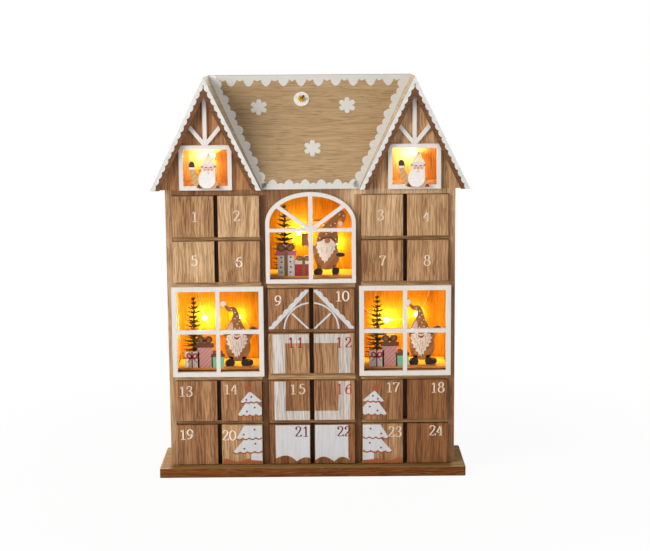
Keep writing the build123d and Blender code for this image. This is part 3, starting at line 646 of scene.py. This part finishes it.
gnome_prints = [
    ("coat_brown", 0, [oval(3, 28, 84, 41), oblong(-20, 10, 14, 8), oblong(24, 10, 14, 8)]),
    ("coat_brown", 1, rounded(gnome_sleeve)),
    ("boot_black", 2, rounded(*gnome_boots, gnome_mitten)),
    ("beard_cream", 2, [ragged(gnome_beard, 2, 0.2), oval(-44, 93, 18.5, 9.7)]),
    ("hat_brown", 3, rounded(gnome_hat)),
    ("hat_rose", 4, rounded(gnome_cheek)),
    ("hat_brim", 4, rounded(gnome_brim)),
    ("spot_white", 5, dots(gnome_spots, 5, 2.2, 12)),
    ("mouth_red", 3, rounded(gnome_mouth)),
    ("nose_gold", 5, [oval(0, 48.6, 17, 6.4)]),
    ("beard_line", 3, [pen(smooth(strand), 1.2, 0.7) for strand in gnome_strands]),
]
arch_hat = [
    (-31, 50), (-30, 54), (-21, 62), (-12, 68.5), (9, 77.2), (30, 85.2), (47, 92.2), (58.5, 91.2),
    (64, 86), (63.2, 80), (57.5, 76.8), (52.5, 78.2), (56, 82), (50, 84.8), (39, 81), (34.5, 70.5),
    (36.7, 61.6), (39.8, 54.3), (37.5, 46.5), (28, 47.5), (20, 53), (5, 54.5), (-10, 53), (-20, 49),
]
arch_brim = [
    (-20, 49), (-10, 52), (5, 53.5), (20, 52), (28, 47), (29, 50), (20, 54.8), (5, 56.2), (-10, 54.8),
    (-21, 51.5),
]
arch_beard = [
    (-34, 48.5), (-35, 40), (-30, 33), (-24, 27), (-15, 21), (-6, 16.5), (4, 20), (14, 26),
    (23, 31), (31, 37), (34, 44), (32, 50), (15, 53), (5, 53), (-8, 53), (-22, 51),
]
arch_sleeve = [(-26, 36), (-60, 48.5), (-68, 44.5), (-37, 30)]
arch_boots = [
    [(-33, 9), (-17, 9), (-14, 3), (-17, 0.4), (-39, 0.4), (-42.5, 3.5), (-37, 6)],
    [(24, 10.5), (42, 9), (41, 5), (36, 1), (23, 0.4), (20, 3)],
]
arch_spots = [(-22, 54), (0, 60), (32, 52), (20, 62), (16, 72), (30, 75), (45, 88), (59, 86)]
lantern_bars = [oblong(-72 + step, 51, 1.6, 13) for step in (-8, -4, 0, 4, 8)]
arch_prints = [
    ("coat_brown", 0, [oval(2, 27, 83, 38.5), oblong(-24, 9, 12, 7), oblong(28, 10, 12, 7)]),
    ("coat_brown", 1, [arch_sleeve]),
    ("boot_black", 2, rounded(*arch_boots) + [oval(48, 29, 30, 5.8)]),
    ("nose_gold", 2, [oblong(-72, 51.5, 20, 15.5)]),
    ("hat_brim", 3, lantern_bars + [oblong(-72, 58.8, 20.5, 1.8), oblong(-72, 43.8, 20.5, 1.4)]),
    ("beard_cream", 2, [ragged(arch_beard, 2, 0.14), oval(49, 74.5, 15.5, 7.7)]),
    ("hat_brown", 3, rounded(arch_hat)),
    ("hat_brim", 4, rounded(arch_brim)),
    ("mouth_red", 4, [oval(22, 66, 11, 3.8, 18)]),
    ("spot_white", 5, dots(arch_spots, 5, 2.2, 12)),
    ("nose_gold", 5, [oval(4, 50, 19, 7.8)]),
    ("beard_line", 3, [pen(smooth(strand) + (-3, 5), 1, 0.8) for strand in gnome_strands[3:14:5]]),
]
for bay, prints in (("left", gnome_prints), ("arch", arch_prints), ("right", gnome_prints)):
    corner = (bay_centres[bay] + gnome_offsets[bay], plinth_tops[bay])
    printed(f"{bay}_gnome", prints, gnome_size, corner, gnome_face)


# Window frames. Square crosses, an arch with a fan and the spandrel boards behind it, all sawn
# from sheet; the frames are sprayed white and glued over the openings.
def white_paint(name, colour, along, show):
    """Matt white over wood: streaks of the grain show through by a share, and pores sink a little."""
    material, tap = new_finish(name)
    band, streak, pore, place = grain_of(tap, along)
    faint = streak * 0.6 + pore * 0.6 + band * 0.3
    tone = (faint * show).mix(colour, np.array(colour) * (0.74, 0.68, 0.62))
    normal = (1 - pore * 0.6 - streak * 0.3).bump(0.2, 0.0002)
    return shade(material, tap, {"Base Color": tone, "Roughness": pore * 0.15 + 0.45, "Normal": normal})


frame_white = white_paint("frame_white", (224, 219, 214), "z", 0.12)
dress(frame_white, "left_window", "right_window", "arch_window")
dress(crown_wood, "arch_spandrels")


# Drawers. Twenty-four small boxes, each with a brown front that overlaps its cell, a box of
# plain pale wood behind it and a number in a thin film of light, red or brown paint.
dress(carcass_level, "drawer_shelves")
# Painted shade: the partitions are near black-brown, as if shaded in the gaps between the drawer fronts.
dress(wood("partition_painted_shade", (100, 66, 40), (70, 45, 27), "z"), "drawer_partitions")
box_wood = ("Y", -0.0236, -0.0234, (214, 180, 134), (186, 148, 104))
# Tones of the fronts: partly the veneer's own spread from front to front, partly painted light and shade,
# paler at the top left and darker and redder towards the bottom and right.
front_tones_and_painted_falloff = [
    ((218, 181, 139), (2, 3, 5)), ((203, 163, 119), (4, 20)), ((196, 153, 110), (1, 6, 7, 8, 11, 12, 23)),
    ((190, 142, 100), (13, 16)), ((181, 132, 90), (14, 19)), ((170, 122, 81), (9, 10, 15, 17)),
    ((150, 99, 56), (18, 21, 22, 24)),
]
light_front, light_share, dark_share = 200, (0.68, 0.6, 0.5), (0.6, 0.5, 0.39)
for order, (pale, numbers) in enumerate(front_tones_and_painted_falloff):
    deep = np.array(pale) * (light_share if pale[0] > light_front else dark_share)
    veneer = wood(f"front_veneer_{order}", pale, deep, "z", 0.45, box_wood)
    dress(veneer, *[f"drawer_{number:02d}" for number in numbers])
digit_strokes = {
    "0": [[(30, 98), (9, 80), (4, 50), (9, 20), (30, 2), (51, 20), (56, 50), (51, 80), (30, 98)]],
    "1": [[(12, 80), (22, 86), (33, 98)], [(33, 98), (33, 2)], [(12, 2), (54, 2)]],
    "2": [[(8, 72), (12, 90), (30, 98), (47, 90), (50, 72), (38, 48), (18, 24), (6, 5)],
          [(5, 5), (54, 5)], [(54, 3), (58, 20)]],
    "3": [[(8, 82), (16, 94), (30, 98), (45, 92), (49, 76), (40, 60), (22, 54)],
          [(22, 54), (42, 48), (53, 30), (46, 10), (28, 2), (12, 4), (6, 16)]],
    "4": [[(40, 98), (3, 32)], [(2, 32), (58, 32)], [(41, 98), (41, 2)], [(26, 2), (55, 2)]],
    "5": [[(15, 95), (51, 95)], [(16, 97), (12, 55)],
          [(12, 55), (28, 62), (46, 54), (53, 34), (44, 12), (26, 2), (12, 5), (7, 14)]],
    "6": [[(50, 95), (30, 88), (14, 68), (6, 40), (10, 14), (30, 2), (48, 12), (54, 32),
           (46, 52), (30, 58), (14, 50), (8, 36)]],
    "7": [[(5, 93), (57, 93)], [(56, 93), (40, 62), (28, 30), (22, 2)], [(6, 95), (5, 76)]],
    "8": [[(30, 56), (14, 64), (11, 78), (16, 92), (30, 98), (44, 92), (49, 78), (46, 64), (30, 56)],
          [(30, 56), (12, 46), (5, 28), (12, 9), (30, 2), (48, 9), (55, 28), (48, 46), (30, 56)]],
}
digit_strokes["9"] = [[(60 - across, 100 - up) for across, up in stroke] for stroke in digit_strokes["6"]]
digit_balls = {
    "2": [(12, 75)], "3": [(12, 80), (10, 18)], "5": [(11, 16)], "6": [(47, 91)], "9": [(13, 9)],
}
digit_scale = 10.4 / 100
digit_middle = (30, 50)
digit_pitch = 7.1
wide_pitch, wide_numbers = 9, (11, 12, 15, 16)
stem_thick = 1.5
stem_thin = 0.6
number_spots = [
    (1.7, 0.5), (-1.9, 0.7), (-1.5, 0.5), (-1.4, -0.8), (0.7, 1.6), (-0.3, 0.2), (0.4, 0.4),
    (-0.8, 0.1), (-10.2, 8.7), (7.9, 12.9), (6.3, 11.2), (9.2, 11.1), (-10.6, 10.4), (-10.7, 12.4),
    (7.8, 11.9), (9.2, 11.5), (10, 13.1), (9.7, 12.4), (-10.9, 10.8), (-13.1, 9.7), (11.7, 12.9),
    (9, 12.8), (12.1, 12.1), (8.4, 13),
]
ball_size = 1.7
number_layer = 2
add_inks(
    number_white=[(244, 226, 206)], number_faint=[(228, 204, 180)], number_red=[(158, 30, 22)],
    number_rust=[(184, 70, 34)], number_brown=[(104, 42, 30)],
)
ink_numbers = {"white": (5, 6, 9, 10, 19, 20), "red": (11, 12), "rust": (16,), "brown": (21, 22)}
number_inks = {number: ink for ink, numbers in ink_numbers.items() for number in numbers}


def on_front(name, number, order, outlines, layer, ink):
    """Films on the front of a drawer, from outlines about the centre of that front."""
    body = f"drawer_{number:02d}"
    low, high = np.array(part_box(body)) * 1000
    placed = [outline + (low + high)[[0, 2]] / 2 for outline in outlines]
    piece = f"{name}_{number:02d}_{order}"
    films(piece, placed, facing(low[1]), layer, inks[ink], body)


for number, spot in enumerate(number_spots, 1):
    digits = str(number)
    pitch = wide_pitch if number in wide_numbers else digit_pitch
    for order, digit in enumerate(digits):
        shift = np.array(spot) + (pitch * (order - (len(digits) - 1) / 2), 0)
        strokes = [smooth(stroke) * digit_scale + shift for stroke in digit_strokes[digit]]
        balls = [np.array(ball) * digit_scale + shift for ball in digit_balls.get(digit, [])]
        outlines = [pen(stroke, stem_thick, stem_thin) for stroke in strokes]
        outlines += dots(balls, ball_size, ball_size, 16)
        shown = [outline - np.array(digit_middle) * digit_scale for outline in outlines]
        ink = "number_" + number_inks.get(number, "faint")
        on_front("number", number, order, shown, number_layer, ink)


# Painted fronts. White paint on the fronts round the windows: garlands with a pointed arch,
# picture frames, snow on two fronts and, at each side, one large cake-like tree over two fronts.
inks["front_white"] = white_paint("front_white", (208, 209, 211), "z", 0.22)
inks["worn_white"] = white_paint("worn_white", (214, 208, 204), "z", 0.8)
add_inks(front_brown=[(152, 76, 36)], hill_brown=[(160, 84, 38)])
half_front = np.full(2, 19.4)


def beside(start, end, along, deep):
    """Points at shares along the line from start to end, moved off to its left by deep."""
    run = np.subtract(end, start)
    left = np.array((-run[1], run[0])) / np.hypot(*run)
    return start + along[:, None] * run + deep[:, None] * left


def wavy(start, end, lobes, deep, steps=14):
    """Edge from start to end that swells to its left in half waves of a sine, lobe by lobe."""
    along = np.linspace(0, 1, lobes * steps + 1)
    return beside(start, end, along, deep * np.abs(np.sin(np.pi * lobes * along)))


def clipped(outline, low, high):
    """Outline cut off at the sides of a box, one side after the other."""
    for axis in (0, 1):
        for sign, limit in ((1, high[axis]), (-1, -low[axis])):
            value = sign * outline[:, axis] - limit
            after = np.roll(value, -1)
            step = np.roll(outline, -1, 0) - outline
            cross = (value > 0) != (after > 0)
            share = np.where(cross, value / np.where(cross, value - after, 1), 0)[:, None]
            pair = np.stack((outline, outline + share * step), 1).reshape(-1, 2)
            keep = np.column_stack((value <= 0, cross)).ravel()
            outline = pair[keep]
    return outline


def arc(across, up, radius, start, end, steps=40):
    """Part of a circle between two angles in degrees."""
    return swept(radius, radius, np.radians(np.linspace(start, end, steps))) + (across, up)


def even(outline, width):
    """Pen stroke of one width all along."""
    return pen(outline, width, width)


garland_foot, garland_top = (-19.6, -24.27), (23.4, 21.67)
garland_side = np.array((-0.73, 0.683)) * 3.4
garland_edge = wavy(garland_top, garland_foot, 8, -1.3) + garland_side
garland = np.vstack((garland_foot, garland_top, garland_edge))
arch_lines = [(arc(22, -20, 26.4, 85, 200), 1.5), (np.linspace((22, -22), (3.2, -4), 12), 1.7)]
pointed_arch = [garland] + [even(*line) for line in arch_lines]
frame_top = np.array(((-15.9, 20), (-15.9, -20), (-4, -20), (-4, 10.6), (20, 10.6), (20, 20)))
frame_foot = np.array(((-14.9, 20), (-14.9, -20), (20, -20), (20, -10.2), (-3.8, -10.2), (-3.8, 20)))
left_drifts = (wavy((-14.2, -14.2), (6.5, -17.3), 1, 4.4), wavy((6.5, -17.3), (24.3, -17.3), 1, 4.1))
right_drifts = (wavy((-21.5, -17.7), (-1, -17.7), 1, 5), wavy((-1, -17.7), (15.2, -16.5), 1, 4))
snow_left = np.vstack(((-14.2, 20), (-14.2, -14.2), *left_drifts, (24.3, 20)))
snow_right = np.vstack(((-21.5, 20), *right_drifts, (13.1, -14), (13.1, 20)))
star_turn = np.radians(np.arange(16) * 22.5 + 90)
star_reach = np.where(np.arange(16) % 2, 2.3, 4.9)
tree_star = swept(star_reach, star_reach, star_turn) + (6.7, 12.9)
hem_width = 1.3
bead_size = 1.9


def tree_part(tops, hems, beads):
    """Part of the tree on one front: tiers, each from its top down to a wavy hem, a line along each
    hem, and beads."""
    edges = [wavy(*hem) for hem in hems]
    tiers = [np.vstack((top, edge)) for top, edge in zip(tops, edges)]
    return tiers, [even(edge, hem_width) for edge in edges], dots(beads, bead_size, bead_size, 14)


upper_tiers, upper_lines, upper_beads = tree_part(
    [[(9, 9), (7.3, 9.4)], [(14, -1), (4.6, -1)]],
    [((-1.6, -1), (20, -0.4), 4, -1.2), ((-4.4, -14), (26, -13.4), 5, -1.5)],
    [(9.5, 4.4), (4.6, 1.4), (12.6, -6.4), (5, -10.4)],
)
lower_tiers, lower_lines, lower_beads = tree_part(
    [[(26, 22), (3.8, 22)], [(26, 6), (2.4, 6)]],
    [((-6, 6.4), (26, 7.4), 5, -1.5), ((-9.4, -7.6), (26, -6.4), 5, -1.6)],
    [(12, 15.3), (1.4, 10.3), (12.7, 1), (1.8, -4)],
)
trunk = np.array(((8.6, -8.5), (8.4, -15.6), (22, -16.6), (22, -8.5)))
hill_line = smooth([(-22, -14.6), (-15.2, -14.2), (-4.1, -17.2), (8.5, -13.9), (22, -17.4)])
hills = np.vstack((hill_line, (22, -22), (-22, -22)))
painted = [
    ((9, 10), "front_white", 0, pointed_arch),
    ((11, 12), "worn_white", 0, [frame_top]),
    ((15, 16), "worn_white", 0, [frame_foot]),
    ((21,), "front_white", 0, [snow_left]),
    ((22,), "front_white", 0, [snow_right]),
    ((14, 17), "front_white", 0, upper_tiers),
    ((14, 17), "front_brown", 1, [tree_star] + upper_lines),
    ((14, 17), "number_brown", 1, upper_beads),
    ((20, 23), "hill_brown", 0, [hills]),
    ((20, 23), "front_white", 1, lower_tiers + [trunk]),
    ((20, 23), "front_brown", 2, lower_lines),
    ((20, 23), "number_brown", 2, lower_beads),
]
fronts = [(number, turn, *row) for pair, *row in painted for number, turn in zip(pair, (1, -1))]
for order, (number, turn, paint, layer, outlines) in enumerate(fronts):
    shown = [clipped(outline, -half_front, half_front) * (turn, 1) for outline in outlines]
    on_front("paint", number, order, shown, layer, paint)


# Gables. Two pointed fronts of red-brown veneer with white windows, timber-frame laths in the
# same white, and a bust cut from board on the sill of each window.
# Painted light: the right gable's veneer is paler than the left one's, as if lit more.
right_gable_painted_light = ("X", 0, 0.01, (216, 170, 124), (150, 108, 70))
gable_veneer = wood("gable_veneer", (196, 142, 94), (126, 82, 48), "z", 0.5, right_gable_painted_light)
dress(gable_veneer, "gable_fronts", "gable_floors")
dress(frame_white, "gable_windows", "gable_braces")
bust_size = (27, 34)
bust_face = -31
bust_foot = 284
add_inks(
    bust_white=[(238, 232, 228)], bust_skin=[(236, 200, 176)], bust_cheek=[(216, 140, 120)],
    bust_hat=[(250, 232, 200), (244, 216, 170), 160], bust_brim=[(226, 216, 222)],
    bust_coat=[(206, 168, 112), (190, 148, 92), 200], bust_dark=[(58, 30, 26)], bust_hem=[(122, 38, 32)],
)
coat_edge = [(-23, 1), (51, 1), (47, 10), (36, 28), (32, 36), (-10, 36), (-20, 26), (-24, 12)]
arm_edge = [(-55, 55), (-46, 17), (-36, 8), (-22, 3), (-10, 25), (-27, 33), (-38, 55)]
cuff_edge = [(-56.5, 54), (-57, 60), (-37, 60), (-36.5, 54)]
hat_edge = [(-10, 66), (34, 66), (26, 82), (18.5, 96), (12.5, 97.6), (7, 96), (-0.5, 84)]
beard_edge = [
    (-11.5, 60), (-12.5, 48), (-20, 38), (-24, 26), (-22, 14), (-12, 4), (6, 0.5), (22, 4),
    (33, 14), (36, 26), (35, 38), (35.5, 48), (35.5, 60), (30, 50), (21, 46), (12, 45), (3, 46), (-6, 50),
]
bust_hems = [[(36, 1), (51, 1), (48, 9), (40, 9)], [(-23, 1), (-10, 1), (-15, 9), (-23, 9)]]
bust_cheeks = dots([(0, 53.5), (24, 53.5)], 7, 4.5, 14)
nose_mouth = [oval(12, 53.5, 8, 6, 16), oval(12, 43.5, 8, 2.5, 14)]
bust_prints = [
    ("bust_coat", 0, rounded(coat_edge, arm_edge)),
    ("bust_hem", 1, bust_hems),
    ("bust_dark", 1, [oval(-47, 66, 19, 21)]),
    ("bust_skin", 1, [oval(12, 53, 46, 30)]),
    ("bust_white", 2, rounded(beard_edge) + [cuff_edge, oval(12.5, 96.5, 9, 6)]),
    ("bust_hat", 2, rounded(hat_edge)),
    ("bust_brim", 3, [oval(12, 66, 50, 9)]),
    ("bust_cheek", 3, bust_cheeks + nose_mouth),
    ("bust_dark", 3, [even(arc(across, 56.5, 4, 20, 160, 9), 2) for across in (3.5, 20.5)]),
    ("bust_white", 4, dots([(5, 47.5), (19, 47.5)], 16, 5.5, 18)),
]
for gable, across in gable_centres.items():
    printed(f"{gable}_bust", bust_prints, bust_size, (across, bust_foot), bust_face)


# Roof boards and barge boards. Each gable has two sloping boards behind its front, and in
# front of them a pair of narrow boards edged with poured white icing in even scallops.
roof_board = wood("roof_board", (216, 194, 160), (186, 160, 124), "y")
dress(roof_board, "inner_roof_boards", "outer_roof_boards")
dress(wood("barge_brown", (124, 80, 48), (86, 54, 30), "x", 0.4), "barge_boards")
icing_colours = ((222, 221, 219), (208, 206, 202))
icing_white = mottled("icing_white", *icing_colours, (160, 2), 0.35, 0.15, bump=(0.15, 0.0004))
gable_apex = 389.5
gable_slope = 2.0283
eave_level = 282
barge_face = -32.5
icing_lift = 0.45
barge_lobes = 17
icing_root = 2.7
icing_swell = 1.6
icing_gap = 0.1
barge_reach = 80
barge_half = (gable_apex - eave_level) / gable_slope


def scalloped(start, end, lobes, root, swells, widths=(1,)):
    """Icing along an edge: a straight outer side from start to end, and an inner side that stands
    off it by root plus half waves of a sine whose heights and widths take turns."""
    count = np.linspace(0, lobes, lobes * 12 + 1)
    ends = np.concatenate(([0], np.cumsum(np.resize(widths, lobes))))
    along = np.interp(count, np.arange(lobes + 1), ends / ends[-1])
    height = np.take(swells, np.minimum(count.astype(int), lobes - 1), mode="wrap")
    deep = root + height * np.abs(np.sin(np.pi * count)) ** 0.75
    return np.vstack((start, end, beside(start, end, along, deep)[::-1]))


for gable, across in gable_centres.items():
    apex = (across, gable_apex - icing_gap)
    left_eave, right_eave = (across - barge_half, eave_level), (across + barge_half, eave_level)
    rises = [(right_eave, apex), (apex, left_eave)]
    edges = [scalloped(*rise, barge_lobes, icing_root, (icing_swell,)) for rise in rises]
    starts = (across, across - barge_reach)
    placed = [
        clipped(edge, (start, eave_level), (start + barge_reach, gable_apex))
        for edge, start in zip(edges, starts)
    ]
    points, faces = cutouts(placed, facing(barge_face), -film_sink, icing_lift + film_sink)
    add_piece(f"{gable}_barge_icing", points, faces, icing_white)


# Roof panel. One sloping panel between the gables, pale veneer with the grain across, bordered
# with poured icing whose drips take turns long and short, and three six-petalled snowflakes.
dress(wood("panel_wood", (184, 155, 115), (163, 132, 95), "x"), "roof_panel")
panel_white = white_paint("panel_white", (213, 211, 206), "x", 0.12)
slope_up = np.array((0, 0.43841, 0.89878))
slope_out = np.array((0, -0.89878, 0.43841))
panel_foot = np.array((0, -26, 282))
panel_length = 119.6
foot_half = 46.6
top_half = 99.6


def on_roof(flat, out):
    """Lays (across, up the slope) points on the face of the roof panel, raised by out."""
    return panel_foot + flat[:, :1] * (1, 0, 0) + flat[:, 1:] * slope_up + out * slope_out


def flake(across, up, reach):
    """Snowflake outline: the distance from its centre swings six times round between half and the
    whole of its reach, with a notch at the tip of each petal."""
    turn = np.linspace(0, 2 * np.pi, 216, endpoint=False)
    petal = np.abs(np.cos(3 * turn)) ** 0.8
    notch = 0.1 * np.maximum(np.cos(6 * turn) - 0.86, 0) / 0.14
    far = reach * (0.5 + 0.5 * petal - notch)
    return swept(far, far, np.pi / 2 - turn) + (across, up)


def on_slope(place):
    """Across and up the slope of a place in the house frame."""
    return place[0], (place - panel_foot) @ slope_up


margin = 0.3
panel_top = panel_length - margin
panel_icing = [
    scalloped((top_half, panel_top), (-top_half, panel_top), 23, 4.4, (7.4, 1.8), (0.64, 0.36)),
    scalloped((-foot_half, margin), (foot_half, margin), 12, 4.9, (1.6, 5), (0.38, 0.62)),
    scalloped((foot_half, margin), (top_half, panel_top), 15, 5, (1.6, 3.8), (0.4, 0.6)),
    scalloped((-top_half, panel_top), (-foot_half, margin), 15, 5, (1.6, 3.8), (0.4, 0.6)),
]
flake_reach = 8.8
flake_places = [(-49.7, 12.9, 358.2), (36.4, 13.6, 359.5), (2.4, -6.7, 319.7)]
flakes = [flake(*on_slope(place), flake_reach) for place in flake_places]
films("roof_icing", panel_icing[:1], on_roof, 0, panel_white)
panel_edges = [clipped(edge, (-top_half, margin), (top_half, panel_top)) for edge in panel_icing[1:]]
films("roof_borders", panel_edges[:2], on_roof, 1, panel_white)
# Painted light: the left border of icing is a whiter paint than the rest, to cancel the left gable's
# shadow on it.
border_painted_light = white_paint("border_painted_light", (240, 238, 233), "x", 0.12)
films("left_roof_border", panel_edges[2:], on_roof, 1, border_painted_light)
films("roof_flakes", flakes, on_roof, 0, panel_white)


# Switch. A toggle on the roof panel: a white plate, a moulded body behind it whose neck, plated
# like brass, comes through with a hexagon nut, and a short brass lever with a black tip.
def moulded(name, colour, rough):
    """Moulded plastic: a fine leather-like skin moves its tone, shine and height a little."""
    return mottled(name, colour, np.array(colour) * 0.92, (900, 3), rough, 0.12, bump=(0.12, 0.0002))


plating_edge = 0.05 / 1000


def plated(name, low, high):
    """Worn brass where a place stands off the roof panel by more than low and less than high, in
    millimetres, and black plastic elsewhere."""
    material, tap = new_finish(name)
    place = tap.place()
    wear = place.noise(1500, 3).ramp(0.35, 0.7)
    lean = {0: place, 1: tuple(slope_out)}
    off = tap.node("VectorMath", {"operation": "DOT_PRODUCT"}, lean, "Value")
    levels = (np.array((low, high)) + panel_foot @ slope_out) / 1000
    above, over = [off.ramp(level - plating_edge, level + plating_edge) for level in levels.tolist()]
    bright = above * (1 - over)
    values = {
        "Base Color": bright.mix((28, 28, 30), wear.mix((226, 180, 62), (190, 144, 38))),
        "Metallic": bright * 0.7,
        "Roughness": wear * 0.2 + 0.22,
    }
    return shade(material, tap, values)


dress(moulded("plate_white", (232, 230, 226), 0.4), "switch_plate")
dress(plated("body_black", 0.3, 20), "switch_body")
dress(plated("nut_brass", -20, 20), "switch_nut")
dress(plated("lever_brass", -20, 4.4), "switch_lever")


# Battery box. A moulded black box on the back panel with a sliding lid, two wrapped cells and
# bent spring-steel contacts.
dress(moulded("case_black", (30, 30, 32), 0.42), "battery_box", "battery_lid")
dress(mottled("cell_wrap", (46, 92, 140), (40, 82, 128), (300, 2), 0.3, 0.1), "battery_cells")
dress(pin_steel, "battery_contacts")


# Studio. A pale floor that keeps the shadow, a plain white room, a large soft lamp high on the
# left in front, weaker ones on the right and behind, and the camera a little above the roof.
floor_paint, tap = new_finish("floor_paint")
place = tap.place()
fleck = place.noise(40, 2).ramp(0.3, 0.7)
floor_look = {"Base Color": fleck.mix((250, 250, 250), (247, 247, 247)), "Roughness": 0.9}
shade(floor_paint, tap, floor_look)


def seen_by_eye(tap):
    """1 for rays of the camera, straight or by way of a shiny or clear surface, and 0 for others."""
    straight, shiny, clear = [
        tap.node("LightPath", out=f"Is {kind} Ray") for kind in ("Camera", "Glossy", "Transmission")
    ]
    return tap.maths("MAXIMUM", tap.maths("MAXIMUM", straight, shiny), clear)


near_white = 0.93
glow = tap.node("Emission", {}, {"Color": (1, 1, 1, 1), "Strength": 1})
surface = Tap(tap.tree, floor_paint.node_tree.nodes["Principled BSDF"].outputs[0])
away = tap.node("VectorMath", {"operation": "LENGTH"}, {0: place}, "Value").ramp(0.2, 0.55)
shown = seen_by_eye(tap) * (away * (1 - near_white) + near_white)
floor_mix = tap.node("MixShader", {}, {0: shown, 1: surface, 2: glow})
tap.tree.links.new(floor_mix.socket, floor_paint.node_tree.nodes["Material Output"].inputs["Surface"])
floor_mesh = bpy.data.meshes.new("floor")
floor_reach = 6
floor_corners = np.array(((-1, -1, 0), (1, -1, 0), (1, 1, 0), (-1, 1, 0))) * floor_reach
floor_mesh.from_pydata(floor_corners.tolist(), [], [(0, 1, 2, 3)])
floor_mesh.materials.append(floor_paint)
floor = bpy.data.objects.new("floor", floor_mesh)
scene.collection.objects.link(floor)

world = bpy.data.worlds.new("studio")
scene.world = world
world.use_nodes = True
sky = Tap(world.node_tree)
ambient = 0.23
backdrop = world.node_tree.nodes["Background"]
strength = seen_by_eye(sky) * (1 - ambient) + ambient
sky.plug(backdrop.inputs, {"Color": (1, 1, 1, 1), "Strength": strength})

studio_lamps = [
    ("key", (-1584, -1237, 1095), 44, (1, 0.98, 0.95), 1.4, 200),
    ("fill", (1100, -1300, 500), 4.5, (1, 0.99, 0.97), 0.9, 180),
    ("behind", (500, 1500, 700), 9, (1, 0.99, 0.97), 0.9, 200),
]
for name, place, power, colour, width, aim in studio_lamps:
    made = lamp(name, "AREA", place, power, colour, shape="DISK", size=width)
    look = np.array((0, 0, aim)) - place
    lean = math.atan2(math.hypot(look[0], look[1]), -look[2])
    made.rotation_euler = (lean, 0, math.atan2(look[1], look[0]) - math.pi / 2)

lens_place = (0.01356, -1.45817, 0.43245)
lens_pitch = math.radians(9.289)
lens_roll = math.radians(0.4657)
view = bpy.data.cameras.new("camera")
view.lens = 83.058
view.sensor_width = 36
view.sensor_fit = "HORIZONTAL"
view.clip_start = 0.05
view.clip_end = 50
camera = bpy.data.objects.new("camera", view)
scene.collection.objects.link(camera)
pitched = Matrix.Rotation(math.pi / 2 - lens_pitch, 4, "X")
camera.matrix_world = Matrix.Translation(lens_place) @ pitched @ Matrix.Rotation(-lens_roll, 4, "Z")
scene.camera = camera
scene.view_settings.view_transform = "Standard"
